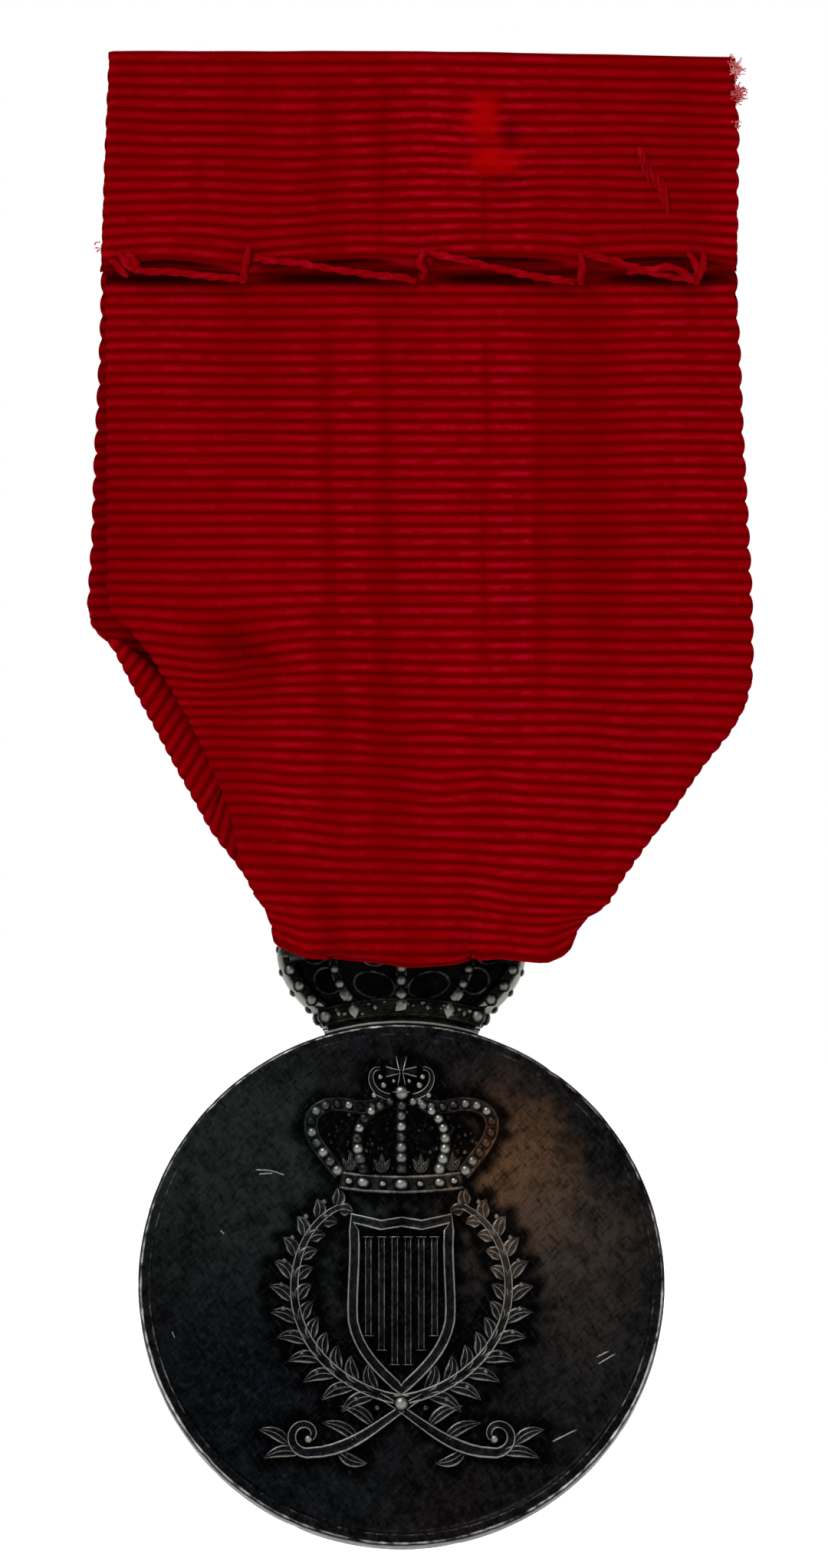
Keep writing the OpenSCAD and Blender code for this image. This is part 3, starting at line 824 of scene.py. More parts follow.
def hem_thread():
    """Long slanting stitches that catch the hem at four places, with a knot at each end."""
    pile = Pile()
    runs = [
        [(-17.0, -0.75, -10.2), (-17.3, ON_FLAP, -10.35), (-16.9, ON_FLAP, -10.75), (-14.6, -1.05, -11.05),
         (-12.4, -0.95, -11.3), (-10.9, -0.9, -11.42), (-10.3, -0.55, -11.5)],
        [(-10.15, -0.7, -9.5), (-10.1, ON_FLAP - 0.05, -9.72), (-10.25, ON_FLAP, -10.4),
         (-10.35, -0.95, -11.1), (-10.45, -0.5, -11.6)],
        [(-9.9, -0.7, -10.2), (-9.4, ON_FLAP, -10.3), (-7.4, -1.1, -10.5), (-4.6, -1.0, -10.95),
         (-2.6, -0.9, -11.25), (-0.9, -0.8, -11.4), (-0.3, -0.5, -11.6)],
        [(0.2, -0.7, -9.9), (0.12, ON_FLAP, -10.05), (-0.05, ON_FLAP, -10.6), (0.3, -1.0, -10.95),
         (0.05, -0.55, -11.3)],
        [(0.5, -0.7, -9.85), (0.8, ON_FLAP, -9.98), (2.6, -1.12, -10.35), (4.8, -1.0, -10.9),
         (7.0, -0.9, -11.35), (8.6, -0.8, -11.55), (9.1, -0.45, -11.6)],
        [(9.5, -0.7, -10.0), (9.5, ON_FLAP - 0.08, -10.25), (9.55, ON_FLAP, -10.8), (9.45, -0.9, -11.4),
         (9.4, -0.5, -11.7)],
        [(9.6, -0.7, -10.0), (10.0, ON_FLAP, -10.1), (11.6, -1.1, -10.45), (13.2, -1.0, -10.95),
         (14.8, -0.9, -11.3), (16.0, -0.8, -11.45), (16.3, -0.4, -11.4)],
        [(12.2, -0.75, -11.0), (13.4, -1.0, -10.95), (14.9, -1.15, -10.8), (15.5, -1.15, -11.1),
         (16.1, -0.9, -11.5), (16.3, -0.5, -11.6)],
        [(16.65, -0.7, -9.85), (16.7, ON_FLAP, -10.05), (16.65, ON_FLAP, -10.7), (16.45, -1.0, -11.3),
         (16.2, -0.5, -11.6)],
        [(15.8, -0.7, -9.9), (15.95, ON_FLAP, -10.15), (16.2, -1.2, -10.55), (16.35, -1.05, -11.0),
         (16.1, -0.6, -11.4)],
        [(-17.9, -0.7, -9.9), (-17.7, ON_FLAP, -10.05), (-17.3, -1.2, -10.6), (-16.9, ON_FLAP, -10.85),
         (-16.6, -0.7, -11.0)],
        [(-17.3, -0.7, -10.0), (-17.0, ON_FLAP - 0.1, -10.15), (-16.7, -1.15, -10.65),
         (-16.4, -0.7, -10.9)],
        [(-18.3, -0.7, -10.3), (-18.0, -1.05, -10.5), (-17.6, -1.0, -10.95), (-17.3, -0.6, -11.2)],
    ]
    for points in runs:
        twisted(pile, points)
    pile.build("hem_thread", as_drawn, "ribbon", "thread", THREAD, ["hem_stitches"])


def snag_threads():
    """Pulled weft standing up from the flap in a slanting group."""
    pile = Pile()
    for i in range(8):
        x, z = 12.9 + 0.22 * i, -4.3 - 0.36 * i
        lean = RNG.uniform(-0.1, 0.1)
        tall = 0.55 + 0.25 * math.sin(i * 0.9) + (0.5 if i > 4 else 0)
        for _ in range(3):
            off = RNG.uniform(-0.07, 0.07)
            points = [(x + off, -0.8, z + tall), (x + off + 0.05, -1.02, z + tall * 0.4),
                      (x + off + 0.12 + lean, -1.02, z - tall * 0.5), (x + off + 0.2, -0.78, z - tall)]
            tube(pile, flowing(points, 0.12), 0.085, 6, worn=0.4)
    pile.build("snag_threads", as_drawn, "ribbon", "thread", THREAD)


def fibre(pile, root, way, reach, radius):
    """One loose fibre: it leaves along way and curls at random."""
    way = unit(way)
    points = [np.array(root, float)]
    for _ in range(4):
        way = unit(way + RNG.normal(0, 0.45, 3))
        points.append(points[-1] + way * reach / 4)
    tube(pile, flowing(points, 0.09), radius, 5, worn=0.5)


def selvedge_frays():
    """Faded tufts at the top right corner, and short fuzz along the edges."""
    pile = Pile()
    for x, z, count, reach in [(18.55, 0.85, 80, 0.62), (18.6, -0.6, 80, 0.8), (18.7, -2.4, 14, 0.35),
                               (-18.95, -9.5, 8, 0.35), (18.5, 1.6, 8, 0.3)]:
        sign = 1 if x > 0 else -1
        for _ in range(count):
            root = (x + RNG.uniform(-0.35, 0.05) * sign, RNG.uniform(-0.85, -0.5),
                    z + RNG.uniform(-0.3, 0.3))
            fibre(pile, root, (sign, RNG.uniform(-0.4, 0.2), RNG.uniform(-0.5, 0.6)),
                  reach * RNG.uniform(0.4, 1.1), RNG.uniform(0.022, 0.045))
    pile.build("selvedge_frays", as_drawn, "ribbon", "thread", FRAY)


hem_thread()
snag_threads()
selvedge_frays()


# ---------------------------------------------------------------- shapes that the metal uses

def sweep(pile, path, section, worn, side):
    """A closed section of (sideways, y) offsets carried along a path, with both ends closed."""
    points = path[:, None] + section[..., :1] * side[:, None] + section[..., 1:] * np.array([0, 1.0, 0])
    pile.grid(points, np.broadcast_to(worn, points.shape[:2]), close_v=True, capped=True)


def upright(path, y=0.0):
    """A path of (x, z) as points at this y."""
    path = np.asarray(path, float)
    return np.stack([path[:, 0], np.full(len(path), y), path[:, 1]], -1)


# Sections of a raised stroke from side to side: place across, height, and how worn.
ROUND = [(-1, 0, 0), (-0.86, 0.5, 0.2), (-0.5, 0.87, 0.6), (0, 1, 1), (0.5, 0.87, 0.6), (0.86, 0.5, 0.2),
         (1, 0, 0)]
EDGED = [(-1, 0, 0), (-0.9, 0.8, 0.5), (-0.72, 1, 1), (-0.5, 0.6, 0.1), (0, 0.5, 0), (0.5, 0.6, 0.1),
         (0.72, 1, 1), (0.9, 0.8, 0.5), (1, 0, 0)]
LEAF = [(-1, 0, 0), (-0.8, 0.7, 0.8), (-0.45, 0.75, 0.2), (-0.12, 0.55, 0), (0, 0.95, 0.9), (0.12, 0.55, 0),
        (0.45, 0.75, 0.2), (0.8, 0.7, 0.8), (1, 0, 0)]


def ridge(pile, path, half, height, shape=ROUND, sink=0.06, closed=False, wear=1.0):
    """A raised stroke on a face. Its path is (x, z); its height stands along y."""
    flat = upright(path)
    if closed:
        flat = np.concatenate([flat, flat[:1]])
    side = side_frames(flat, (0, 1, 0))[0]
    if closed:
        side[0] = side[-1] = unit(side[0] + side[-1])
    shape = np.array(shape)
    half = np.broadcast_to(half, len(flat))[:, None]
    tall = np.broadcast_to(height, len(flat))[:, None]
    across = np.concatenate([shape[:, 0], [1, -1]]) * half
    up = np.concatenate([shape[:, 1] * tall, np.full((len(flat), 2), -sink)], 1)
    worn = np.concatenate([shape[:, 2], [0, 0]]) * wear
    sweep(pile, flat, np.stack([across, up], -1), worn, side)


def leaf(pile, base, tip, half, height, bend=0.15):
    """A pointed leaf with a midrib, bent to one side."""
    base, tip = np.array(base, float), np.array(tip, float)
    t = np.linspace(0, 1, 9)
    along = tip - base
    across = np.array([-along[1], along[0]])
    path = base + t[:, None] * along + bend * np.sin(math.pi * t)[:, None] * across
    swell = np.maximum(np.sin(math.pi * t**0.8) ** 0.8, 0.06)
    ridge(pile, path, half * swell, height * (0.45 + 0.55 * swell), LEAF)


def pillow(pile, outline, depth, edge, rings=8, middle=None):
    """A solid with this (x, z) outline, domed on both faces: edge thick at its rim, depth more inside."""
    outline = np.asarray(outline, float)
    middle = outline.mean(0) if middle is None else np.array(middle, float)
    loops = [(middle + (outline - middle) * (1 - s), edge + depth * math.sqrt(1 - (1 - s) ** 2))
             for s in np.linspace(0, 1, rings + 1)[:-1]]
    rows = [upright(flat, -y) for flat, y in reversed(loops)] + [upright(flat, y) for flat, y in loops]
    pile.grid(np.array(rows), close_v=True, capped=True)


def pearls(path, step, start, largest, smallest, count):
    """Up to count places along a path, each with the radius of its pearl."""
    return zip(along_path(path, step, start), np.linspace(largest, smallest, count))


def mirrored(path):
    return np.asarray(path, float) * [-1, 1]


# ---------------------------------------------------------------- the emblem on the reverse

def small_crown(pile, z):
    """An arched crown in relief, its circlet's foot at z: five pearled arches, an orb and a cross."""
    circlet = arc((0, z + 24.6), 24.0, 261.4, 278.6, 24)
    ridge(pile, circlet, 0.6, 0.34, EDGED, wear=0.7)
    for x, size in [(-3.1, 0.26), (-2.25, 0.42), (-1.1, 0.24), (0, 0.46), (1.1, 0.24), (2.25, 0.36),
                    (3.1, 0.26)]:
        ball(pile, (x, 0.3, z + 0.6 + x * x / 48), size, squash=(1.1, 0.9, 0.85))
    outer = bezier([(-3.6, 1.2), (-4.2, 2.1), (-5.3, 3.1), (-5.35, 4.1), (-5.4, 5.2), (-4.2, 5.6),
                    (-3.0, 5.3), (-2.2, 5.1), (-1.6, 5.2), (-0.9, 5.6)], 10) + [0, z]
    inner = bezier([(-2.1, 1.2), (-2.9, 2.8), (-3.0, 5.0), (-0.4, 5.6)], 16) + [0, z]
    middle = np.array([(0, z + 1.2), (0, z + 5.6)])
    for path in [outer, mirrored(outer)]:
        ridge(pile, path, 0.46, 0.26, EDGED, wear=0.45)
        for (x, up), size in pearls(path, 0.68, 0.3, 0.34, 0.22, 14):
            ball(pile, (x, 0.26, up), size, squash=(1, 0.9, 1), worn=RNG.uniform(0.2, 0.85))
    for path in [inner, mirrored(inner), middle]:
        path = resample(path, 0.4)
        ridge(pile, path, 0.32, 0.22, EDGED, wear=0.35)
        for (x, up), size in pearls(path, 0.62, 0.35, 0.36, 0.2, 12):
            ball(pile, (x, 0.26, up), size, squash=(1, 0.9, 1), worn=RNG.uniform(0.4, 1.2))
    # Fleurons stand on the circlet between the arches, against a grained cap.
    for x in [-3.0, -1.15, 1.15, 3.0]:
        foot = z + 1.2 + abs(x) * 0.05
        for lean in [-0.5, 0, 0.5]:
            leaf(pile, (x, foot), (x + lean, foot + 1.25 - abs(lean) * 0.7), 0.2, 0.26, 0)
    for x, up, size in zip(RNG.uniform(-4.9, 4.9, 150), RNG.uniform(1.4, 5.3, 150),
                           RNG.uniform(0.07, 0.17, 150)):
        if abs(x) < 4.9 - 0.6 * abs(up - 3) and abs(x) > 0.3:
            ball(pile, (x, 0.06, z + up), size, 4, 6, worn=RNG.uniform(0, 0.5))
    # The orb and cross, among curling leaves.
    ball(pile, (0, 0.2, z + 6.05), 0.5, 6, 12, (1, 0.8, 1))
    ridge(pile, [(-0.5, z + 6.05), (0.5, z + 6.05)], 0.1, 0.68, wear=0.8)
    ridge(pile, [(0, z + 6.5), (0, z + 7.2), (0, z + 8.2)], [0.3, 0.12, 0.42], 0.34, EDGED)
    for sign in [-1, 1]:
        ridge(pile, [(sign * 0.05, z + 7.3), (sign * 0.9, z + 7.3)], [0.12, 0.4], 0.34, EDGED)
        hook = bezier([(0.7, 5.8), (2.0, 6.0), (2.1, 7.6), (1.25, 7.5)], 12) * [sign, 1] + [0, z]
        ridge(pile, hook, np.linspace(0.26, 0.12, 12), 0.28, EDGED)
        for x, up, size in [(1.05, 6.5, 0.24), (1.6, 5.9, 0.22), (1.25, 7.0, 0.2), (0.45, 6.75, 0.16)]:
            ball(pile, (sign * x, 0.15, z + up), size)


def shield(pile, z):
    """A plain shield with upright bars."""
    right = np.concatenate([[(0, 4.9), (1.2, 4.7), (2.9, 5.1)],
                            bezier([(2.9, 5.1), (2.55, 3.6), (3.0, 0.5), (2.85, -1.0)], 8)[1:],
                            bezier([(2.85, -1.0), (2.5, -3.0), (0.9, -4.2), (0, -5.1)], 10)[1:]]) + [0, z]
    outline = np.concatenate([right, mirrored(right[1:-1])[::-1]])
    ridge(pile, outline, 0.36, 0.3, EDGED, closed=True)
    for x in [-1.95, -1.17, -0.39, 0.39, 1.17, 1.95]:
        foot = z - 4.0 + abs(x) * 1.1
        ridge(pile, resample([(x, z + 4.0), (x, foot)], 0.8), 0.22, 0.2, EDGED, wear=0.7)
        for end in [z + 4.0, foot]:
            ridge(pile, [(x - 0.3, end), (x + 0.3, end)], 0.08, 0.22, wear=0.7)


def sprig(pile, sign):
    """Half of the wreath: a laurel stem that crosses the other below and ends in a curl."""
    stem = bezier([(0.4, -6.9), (-3.2, -6.6), (-6.6, -3.6), (-6.3, 0.2),
                   (-6.15, 2.2), (-5.2, 3.9), (-3.6, 4.6)], 16) * [sign, 1]
    ridge(pile, stem, np.linspace(0.38, 0.2, len(stem)), 0.28, EDGED)
    steps = along_path(stem, 1.28, 1.9)
    ways = unit(np.gradient(steps, axis=0))
    for i, (p, way) in enumerate(zip(steps, ways)):
        out = np.array([-way[1], way[0]]) * sign
        size = 2.35 - 0.1 * i
        for side in [1, -1]:
            reach = size * (1 if side > 0 else 0.8)
            leaf(pile, p + out * side * 0.15, p + reach * (0.62 * way + 0.78 * side * out), 0.46, 0.34,
                 -0.14 * side * sign)
        berry = p + out * 0.75 - way * 0.35
        ball(pile, (berry[0], 0.14, berry[1]), 0.17, worn=0.6)
    # The stem's lower end sweeps out under the wreath and curls up.
    tail = bezier([(-1.3, -6.6), (1.2, -8.0), (2.6, -9.9), (5.4, -10.0)], 12) * [sign, 1]
    turns = np.linspace(-0.5, 1.35, 22) * math.pi
    shrink = np.linspace(1.05, 0.28, len(turns))
    curl = np.stack([5.6 + shrink * np.cos(turns), -8.95 + shrink * np.sin(turns)], -1) * [sign, 1]
    run = np.concatenate([tail[:-1], curl])
    half = np.interp(np.arange(len(run)), [0, 8, 14, len(run)], [0.2, 0.42, 0.32, 0.16])
    ridge(pile, run, half, 0.3, EDGED)
    ball(pile, (curl[-1][0], 0.2, curl[-1][1]), 0.3)
    for base, tip in [((2.5, -9.3), (4.7, -8.2)), ((3.7, -9.9), (2.0, -10.6)), ((5.9, -10.0), (8.1, -10.3)),
                      ((6.6, -9.5), (8.4, -8.6)), ((1.6, -8.4), (3.6, -7.2))]:
        leaf(pile, np.array(base) * [sign, 1], np.array(tip) * [sign, 1], 0.42, 0.3, 0.12 * sign)


def reverse_emblem():
    """The relief on the reverse. Returns where it stands, for the soot that gathers round it."""
    pile = Pile()
    small_crown(pile, 5.3)
    shield(pile, -1.2)
    for sign in [-1, 1]:
        sprig(pile, sign)
    ball(pile, (0, 0.2, -7.1), 0.5, 6, 12)
    drawn = np.concatenate(pile.points)[:, [0, 2]]
    # Old knocks in the field, raised at their lips.
    for knock in [[(-8.6, 6.8), (-7.7, 6.75), (-6.9, 6.5)], [(-8.4, 6.55), (-7.6, 6.6)],
                  [(-10.65, 3.2), (-10.45, 3.0)], [(-13.5, -2.8), (-13.35, -3.15)],
                  [(11.6, -4.7), (12.6, -4.1)], [(11.5, -4.3), (12.2, -3.95)],
                  [(-12.4, 5.9), (-12.0, 5.2)], [(8.9, -9.3), (10.3, -8.6)]]:
        ridge(pile, flowing(upright(knock), 0.2)[:, [0, 2]], 0.06, 0.03, sink=0.03, wear=1.3)
    pile.build("reverse_emblem", on_reverse, "medal", "disc", SILVER_DISC)
    return drawn


# ---------------------------------------------------------------- the disc

def disc_profile():
    """From the reverse's middle over the rim to the obverse's middle: radius, y and how proud it stands."""
    half, lip = DISC_T / 2, DISC_R - RIM_W
    face = [(r, FIELD + 0.03 * (r / lip) ** 2, 0) for r in np.linspace(0.05, lip - 0.25, 96)]
    rim = [(lip - 0.12, FIELD + 0.05, 0), (lip, FIELD + 0.16, 0.1), (lip + 0.1, half - 0.02, 0.6),
           (lip + 0.2, half, 0.3), (DISC_R - 0.26, half, 0.2), (DISC_R - 0.17, half - 0.01, 1.0),
           (DISC_R - 0.09, half - 0.04, 0.75), (DISC_R - 0.02, half - 0.14, 0.2), (DISC_R, half - 0.35, 0)]
    back = [(r, -y, p) for r, y, p in reversed(rim)]
    plain = [(r, -FIELD - 0.03 * (r / lip) ** 2, 0) for r in np.linspace(lip - 0.25, 0.05, 40)]
    return np.array(face + rim + [(DISC_R, 0, 0.2)] + back + plain)


def struck_disc(emblem):
    """The disc turned from its profile, with soot round the emblem's points."""
    profile = disc_profile()
    turns = 288
    r, y, proud = (np.repeat(profile[:, k : k + 1], turns, 1) for k in range(3))
    a = np.broadcast_to(np.arange(turns) * 2 * math.pi / turns, r.shape)
    x, z = r * np.cos(a), r * np.sin(a)
    # Small knocks in the rim, and a field that isn't quite even.
    edge = ramp(r, DISC_R - RIM_W, DISC_R - 0.2)
    knocks = np.clip(noise(a * 22, y, 11) - 0.55, 0, 1) * 0.12 + 0.015 * noise(a * 9, y, 12)
    x, z = x * (1 - edge * knocks / DISC_R), z * (1 - edge * knocks / DISC_R)
    y = y * (1 - 0.1 * edge * np.clip(noise(a * 30, 3, 13) - 0.5, 0, 1))
    y = y + 0.012 * noise(x / 2, z / 2, 14) * (1 - edge)

    # The rim is worn bright low on the left and right, less elsewhere.
    degrees = np.degrees(a)
    shine = 0.62 + 0.3 * bump(degrees, 205, 26) + 0.25 * bump(degrees, 330, 24)
    shine = shine + 0.1 * bump(degrees, 265, 18)
    shine = shine + 0.15 * noise(a * 14, 0, 15) + 0.22 * noise(a * 80, r * 3, 17)
    worn = proud * np.clip(shine, 0, 1.1)

    # Soot fades out from the emblem's edges; the distances are worked out 800 points at a time.
    soot = np.zeros(r.shape)
    near = (y > 0) & (r < DISC_R - RIM_W)
    spots = np.stack([x[near], z[near]], -1)
    marks = emblem[::7]
    away = np.concatenate([np.sqrt(((part[:, None] - marks) ** 2).sum(-1)).min(1)
                           for part in np.array_split(spots, max(1, len(spots) // 800))])
    soot[near] = 1 - ramp(away + 0.25 * noise(spots[:, 0] * 1.5, spots[:, 1] * 1.5, 16), 0.3, 1.0)

    pile = Pile()
    pile.grid(np.stack([x, -y, z], -1), worn, close_v=True, capped=True)
    pile.build("struck_disc", on_disc, "medal", "disc", SILVER_DISC, ["medal_disc"],
               soot=soot, polish=np.clip(proud * shine - 0.55, 0, 0.6))


# ---------------------------------------------------------------- the star and wreath on the obverse

def obverse_emblem():
    pile = Pile()
    # Each of the star's five points is two facets that meet in a ridge.
    for i in range(5):
        tip = math.radians(90 + 72 * i)
        for side in [-1, 1]:
            notch = tip + side * math.radians(36)
            corners = [(0, 0.75, 0), (5.2 * math.cos(tip), 0.05, 5.2 * math.sin(tip)),
                       (2.1 * math.cos(notch), 0.1, 2.1 * math.sin(notch))]
            low = [(x, -0.06, z) for x, _, z in corners]
            pile.add(corners + low, [(0, 1, 2), (5, 4, 3), (0, 3, 4, 1), (1, 4, 5, 2), (2, 5, 3, 0)],
                     [1, 0.7, 0.1, 0, 0, 0])
    ridge(pile, circle((0, 0), 6.4, 72), 0.16, 0.2, closed=True, wear=0.7)
    for sign in [-1, 1]:
        for i in range(15):
            turn = math.radians(-84 + 11.4 * i)
            here = np.array([math.cos(turn) * sign, math.sin(turn)])
            way = np.array([-math.sin(turn) * sign, math.cos(turn)])
            for radius, lean in [(10.2, 0.75), (9.4, 0.05), (8.6, -0.6)]:
                base = here * radius
                leaf(pile, base, base + 2.3 * unit(way + lean * here), 0.55, 0.42, 0.1 * sign)
            ball(pile, (here[0] * 11.1, 0.15, here[1] * 11.1), 0.24)
    for tilt in [-35, 35]:
        turn = math.radians(270 + tilt * 0.2)
        band = [(9.8 * math.cos(turn) - 1.3 * math.sin(math.radians(tilt)), -9.8 - 1.6),
                (9.8 * math.cos(turn) + 1.3 * math.sin(math.radians(tilt)), -9.8 + 1.6)]
        ridge(pile, resample(band, 0.6), 0.3, 0.6, EDGED)
    for x, z in circle((0, 0), 13.6, 120):
        ball(pile, (x, 0.05, z), 0.24, 4, 8)
    pile.build("obverse_emblem", on_obverse, "medal", "disc", SILVER_DISC)


# ---------------------------------------------------------------- the crown that hangs on the bar

# The circlet's radius about the disc's middle; the arches' centre lines as x and z from the crown's foot.
BAND_R = DISC_R + 1.025
ORB_Z = 8.25
CROSS_Z = 9.72
OUTER_ARCH = bezier([(4.6, 0.85), (8.0, 3.3), (8.2, 7.6), (0, 7.3)], 36)
INNER_ARCH = bezier([(2.8, 1.2), (4.9, 3.4), (4.6, 6.8), (0, 7.2)], 28)
CENTRE_ARCH = np.array([(0, 1.3), (0, 7.4)])


# Wear at the four points that round each corner of a bar.
CORNER_WEAR = np.array([0.2, 0.75, 0.75, 0.3]) * 0.8


def rounded(half_side, half_top, corner):
    """A rounded rectangle section."""
    return np.concatenate([arc((cx * (half_side - corner), cz * (half_top - corner)), corner,
                               start, start + 90, len(CORNER_WEAR))
                           for cx, cz, start in [(1, 1, 0), (-1, 1, 90), (-1, -1, 180), (1, -1, 270)]])


def bar_along(pile, path, half, depth, corner=0.2):
    """A rounded bar along a path in the crown's plane, worn on its corners."""
    path = upright(path)
    side = side_frames(path, (0, 1, 0))[0]
    sweep(pile, path, rounded(half, depth, corner), np.tile(CORNER_WEAR, 4), side)


def both_faces(pile, x, z, depth, radius, squash=(1, 0.75, 1), rings=6, sides=10):
    for sign in [-1, 1]:
        ball(pile, (x, sign * depth, z), radius, rings, sides, squash, up=(0, sign, 0))


def lozenge(pile, x, z, depth, wide, tall, tilt=0.0):
    """A four-sided cut stone in its setting, on both faces."""
    corners = turned([(wide, 0), (0, tall), (-wide, 0), (0, -tall)], tilt)
    for sign in [-1, 1]:
        rows = [upright(corners * size + [x, z], sign * (depth + rise))
                for size, rise in [(1, -0.2), (1, 0), (0.8, 0.16), (0.3, 0.34)]]
        pile.grid(rows, np.repeat([0, 0.2, 0.9, 0.75], 4), close_v=True, capped=True)


def over_disc(radius, start, end, count):
    """An arc about the disc's middle, from start to end degrees left of its top, as the crown's x and z."""
    return arc((0, -DISC_R), radius, 90 + start, 90 + end, count)


def crown_circlet():
    """A jewelled band with a wire along each edge, a pearl at each end and stones between."""
    pile = Pile()
    spread = 16.8
    bar_along(pile, over_disc(BAND_R, -spread, spread, 40), 0.46, 1.0, 0.15)
    for radius in [BAND_R - 0.44, BAND_R + 0.46]:
        wire = over_disc(radius, -spread, spread, 60)
        for face in [-1, 1]:
            tube(pile, upright(wire, face * 0.98), 0.1 + 0.02 * np.sin(np.arange(60) * 1.7), 6, worn=0.45)
    for p in along_path(over_disc(BAND_R, 2.4 - spread, spread - 2, 60), 0.5):
        both_faces(pile, p[0] + RNG.uniform(-0.2, 0.2), p[1] + RNG.uniform(-0.3, 0.3), 0.96,
                   RNG.uniform(0.1, 0.2), (1.2, 0.7, 1), 4, 6)
    lozenge(pile, 0, BAND_R - DISC_R + 0.05, 1.0, 0.6, 0.46, math.pi / 4)
    for angle, wide, tall in [(9.8, 0.42, 0.62), (5.4, 0.2, 0.26), (13.0, 0.2, 0.3)]:
        for sign in [-1, 1]:
            x, z = over_disc(BAND_R, -sign * angle, 0, 1)[0]
            lozenge(pile, x, z, 1.0, wide, tall, math.radians(-sign * angle))
    for sign in [-1, 1]:
        x, z = over_disc(BAND_R, -sign * 15.8, 0, 1)[0]
        both_faces(pile, x, z, 0.95, 0.48, (1, 0.8, 1))
        ball(pile, (x + sign * 0.4, 0, z + 0.05), 0.46, 6, 10, (0.8, 1.2, 1), up=(sign, 0, 0))
    pile.build("crown_circlet", on_crown, "medal", "crown", SILVER_CROWN, ["crown_band"])


def crown_saddle():
    """The foot between the circlet and the disc: a narrow neck with a bright fillet on the rim."""
    pile = Pile()
    bar_along(pile, over_disc(DISC_R + 0.22, -15.9, 15.9, 36), 0.27, 0.72, 0.1)
    fillet = over_disc(DISC_R + 0.1, -16.9, 16.9, 40)
    for face in [-1, 1]:
        tube(pile, upright(fillet, face * 0.78), 0.13, 8, worn=0.95)
    pile.build("crown_saddle", on_crown, "medal", "crown", SILVER_CROWN, ["crown_foot"])


def crown_body():
    """The cap inside the arches: domed, hatched panels in oval frames, low between the arches."""
    pile = Pile()
    right = np.concatenate([[(0, 0.95), (2.6, 0.9), (4.3, 0.8)], OUTER_ARCH[2:] * [0.97, 0.985]])
    outline = np.concatenate([right, mirrored(right[1:-1])[::-1]])
    pillow(pile, outline, 0.42, 0.3, 8, (0, 3.8))
    for sign in [-1, 1]:
        for cx, cz, wide, tall, tilt in [(1.6, 2.35, 1.25, 0.78, 0.25), (4.35, 2.6, 0.85, 0.75, 0.7),
                                         (1.55, 4.6, 0.95, 1.1, 0.1), (5.2, 4.8, 0.95, 1.2, -0.2)]:
            ring = turned(circle((0, 0), 1, 28) * [wide, tall], tilt * sign) + [cx * sign, cz]
            for face in [-1, 1]:
                tube(pile, upright(ring, face * 0.66), 0.13, 6, up=(0, face, 0), worn=0.6, closed=True)
                for k in np.arange(-1.2, 1.21, 0.3):
                    chord = math.sqrt(max(0.0, 1.44 - k * k))
                    line = np.array([(k - chord, k + chord), (k + chord, k - chord)]) * 0.7 * 0.72
                    line = line * [wide * sign, tall] + [cx * sign, cz]
                    tube(pile, upright(line, face * 0.66), 0.06, 5, up=(0, face, 0), worn=0.35)
    pile.build("crown_body", on_crown, "medal", "crown", SILVER_CAP, ["crown_cap"])


def crown_arch_frame():
    pile = Pile()
    for sign in [-1, 1]:
        outer, inner = OUTER_ARCH * [sign, 1], INNER_ARCH * [sign, 1]
        bar_along(pile, outer, 0.42, 0.9)
        bar_along(pile, inner, 0.3, 0.8)
        # Pearls grow smaller towards the top, on the faces and along the outer edge.
        for (x, z), size in pearls(outer, 1.1, 0.9, 0.42, 0.26, 14):
            both_faces(pile, x, z, 0.86, size)
        outward = side_frames(upright(outer), (0, 1, 0))[0] * -sign
        edge = outer + outward[:, [0, 2]] * 0.36
        for (x, z), size in pearls(edge, 1.35, 0.75, 0.36, 0.26, 9):
            ball(pile, (x, 0, z), size, 6, 10, (0.9, 1.6, 0.9), up=(sign, 0, 0.3))
        tube(pile, upright(outer + outward[:, [0, 2]] * 0.3), 0.24, 8, worn=1.0, flat=2.6)
        for face in [-1, 1]:
            tube(pile, upright(outer + outward[:, [0, 2]] * 0.27, face * 0.78), 0.19, 8, worn=1.0)
        for (x, z), size in pearls(inner, 0.95, 0.5, 0.38, 0.22, 12):
            both_faces(pile, x, z, 0.8, size)
        # A leaf curls out at each arch's foot.
        for face in [-1, 1]:
            curl = upright([(sign * 4.5, 1.0), (sign * 5.1, 1.25), (sign * 5.6, 1.7)], face * 0.6)
            tube(pile, curl, [0.3, 0.38, 0.16], 8, up=(0, face, 0))
    bar_along(pile, resample(CENTRE_ARCH, 0.8), 0.36, 0.8)
    for (x, z), size in pearls(CENTRE_ARCH, 0.78, 0.5, 0.42, 0.28, 9):
        both_faces(pile, x, z, 0.8, size)
    # Lozenges where the arches meet the circlet.
    for x, z in [(-3.35, 1.75), (0, 1.75), (3.35, 1.75)]:
        lozenge(pile, x, z, 0.85, 0.42, 0.55)
    pile.build("crown_arch_frame", on_crown, "medal", "crown", SILVER_CROWN, ["crown_arches"])


def crown_orb_ball():
    """The orb, with a hoop over it and a girdle round it."""
    pile = Pile()
    ball(pile, (0, 0, ORB_Z), 0.82, 12, 20, worn=0.3)
    hoop = circle((0, 0), 0.84, 24)
    tube(pile, upright(hoop) + [0, 0, ORB_Z], 0.1, 6, worn=0.8, closed=True)
    girdle = np.column_stack([hoop, np.full(len(hoop), ORB_Z)])
    tube(pile, girdle, 0.1, 6, up=(0, 0, 1), worn=0.8, closed=True)
    pile.build("crown_orb_ball", on_crown, "medal", "crown", SILVER_CROWN, ["crown_orb"])


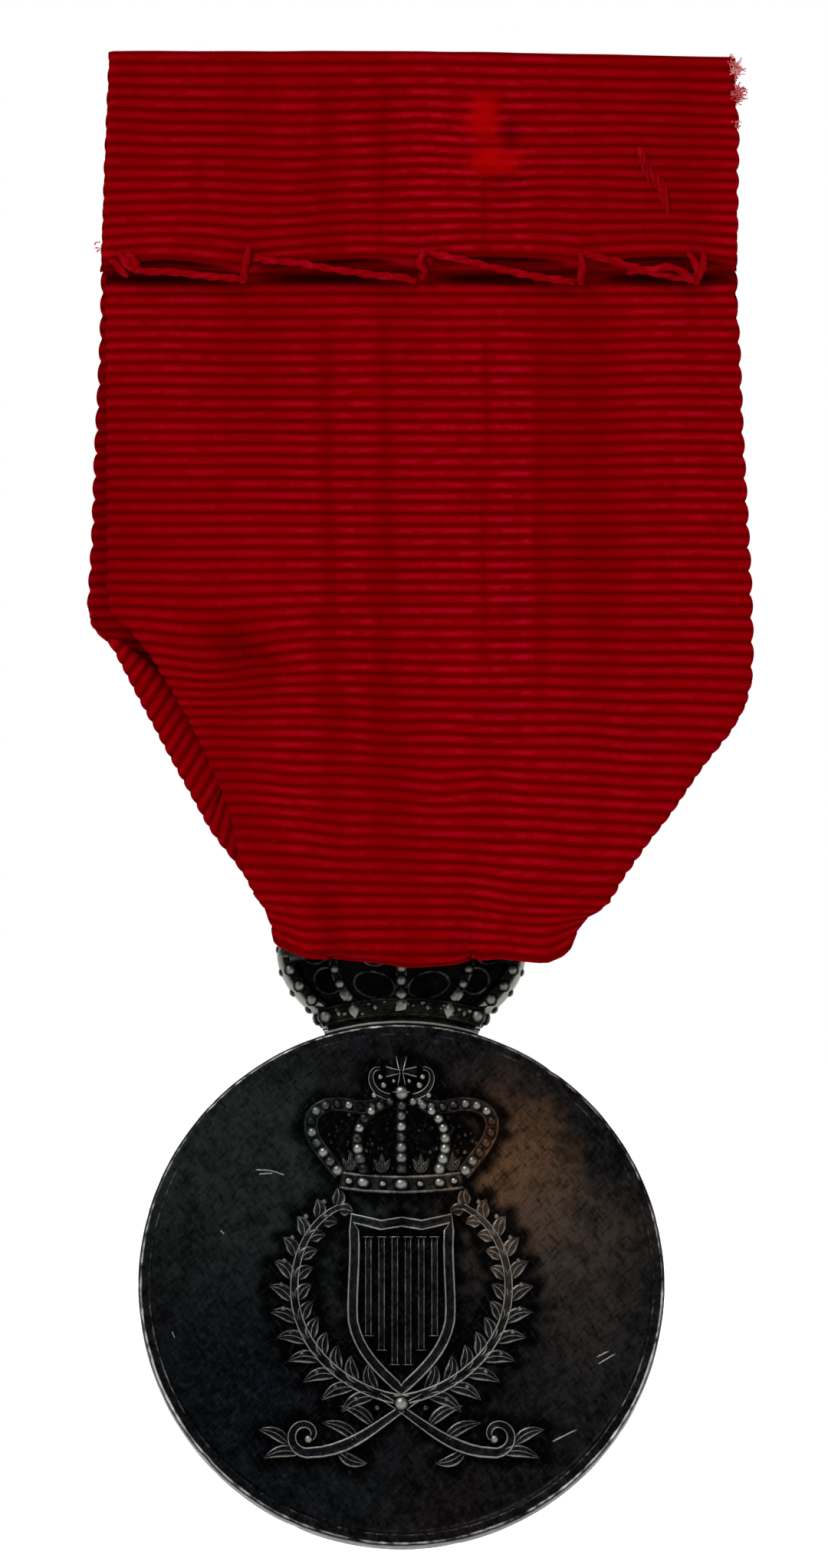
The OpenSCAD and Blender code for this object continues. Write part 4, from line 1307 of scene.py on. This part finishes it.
def crown_top_cross():
    """A cross with splayed arms."""
    pile = Pile()
    middle = (0, CROSS_Z)
    pillow(pile, circle(middle, 0.26, 16), 0.2, 0.22, 3, middle)
    arm = [(0.05, -0.11), (0.35, -0.14), (0.62, -0.3), (0.62, 0.3), (0.35, 0.14), (0.05, 0.11)]
    for turn in range(4):
        pillow(pile, turned(arm, turn * math.pi / 2) + middle, 0.1, 0.24, 3)
    pile.build("crown_top_cross", on_crown, "medal", "crown", SILVER_CROWN, ["crown_cross"])


def medal_pieces():
    struck_disc(reverse_emblem())
    obverse_emblem()
    crown_circlet()
    crown_saddle()
    crown_body()
    crown_arch_frame()
    crown_orb_ball()
    crown_top_cross()
    for node in ["left_lug", "right_lug", "suspension_bar"]:
        slots = frame["nodes"][node].data.materials
        for i in range(len(slots)):
            slots[i] = SILVER_WIRE
        if not slots:
            slots.append(SILVER_WIRE)


medal_pieces()


# ---------------------------------------------------------------- floor, light and camera

def studio():
    floor = bpy.data.meshes.new("floor")
    size, floor_z = 3.0, DISC_LOW[2] * MM - 0.016
    corners = [(size * x, size * y, floor_z) for x, y in [(-1, -1), (1, -1), (1, 1), (-1, 1)]]
    floor.from_pydata(corners, [], [(0, 1, 2, 3)])
    floor = bpy.data.objects.new("floor", floor)
    bpy.context.scene.collection.objects.link(floor)
    g = Graph("pale_floor")
    floor.data.materials.append(g.set(Base_Color=(0.9, 0.9, 0.9), Roughness=0.9, Specular_IOR_Level=0.0,
                                      Emission_Color=(1.0, 1.0, 1.0), Emission_Strength=0.6))

    # Pale up to the horizon, dimmer overhead.
    world = bpy.data.worlds.new("studio")
    world.use_nodes = True
    tree = world.node_tree
    way = tree.nodes.new("ShaderNodeTexCoord").outputs["Generated"]
    split = tree.nodes.new("ShaderNodeSeparateXYZ")
    dimmer = tree.nodes.new("ShaderNodeMapRange")
    dimmer.interpolation_type = "SMOOTHSTEP"
    for key, value in {"From Min": 0.16, "From Max": 0.5, "To Min": 1.0, "To Max": 0.42}.items():
        dimmer.inputs[key].default_value = value
    tree.links.new(way, split.inputs[0])
    tree.links.new(split.outputs["Z"], dimmer.inputs["Value"])
    tree.links.new(dimmer.outputs[0], tree.nodes["Background"].inputs["Strength"])
    tree.nodes["Background"].inputs["Color"].default_value = (1, 1, 1, 1)
    bpy.context.scene.world = world

    for name, place, size, power in [("key", (-0.35, -0.55, 0.75), 0.35, 12),
                                     ("fill", (0.7, -0.7, 0.15), 0.5, 2.0),
                                     ("back", (0.3, 0.8, 0.7), 0.5, 8)]:
        lamp = bpy.data.lights.new(name, "AREA")
        lamp.size, lamp.energy = size, power
        light = bpy.data.objects.new(name, lamp)
        bpy.context.scene.collection.objects.link(light)
        light.location = place
        aim = np.array([0, 0, -0.04]) - np.array(place)
        light.rotation_euler = mathutils.Vector(aim).to_track_quat("-Z", "Y").to_euler()


def camera():
    """Straight at the reverse, from about an arm's length and a half."""
    distance, frame_height = 1.1, 0.0924
    lens = bpy.data.cameras.new("camera")
    lens.lens = 36 * distance / frame_height
    lens.sensor_width = 36
    eye = bpy.data.objects.new("camera", lens)
    bpy.context.scene.collection.objects.link(eye)
    eye.location = (-0.00036, -distance, -0.0412)
    eye.rotation_euler = (math.pi / 2, 0, 0)
    bpy.context.scene.camera = eye


bpy.context.scene.view_settings.view_transform = "Standard"
studio()
camera()
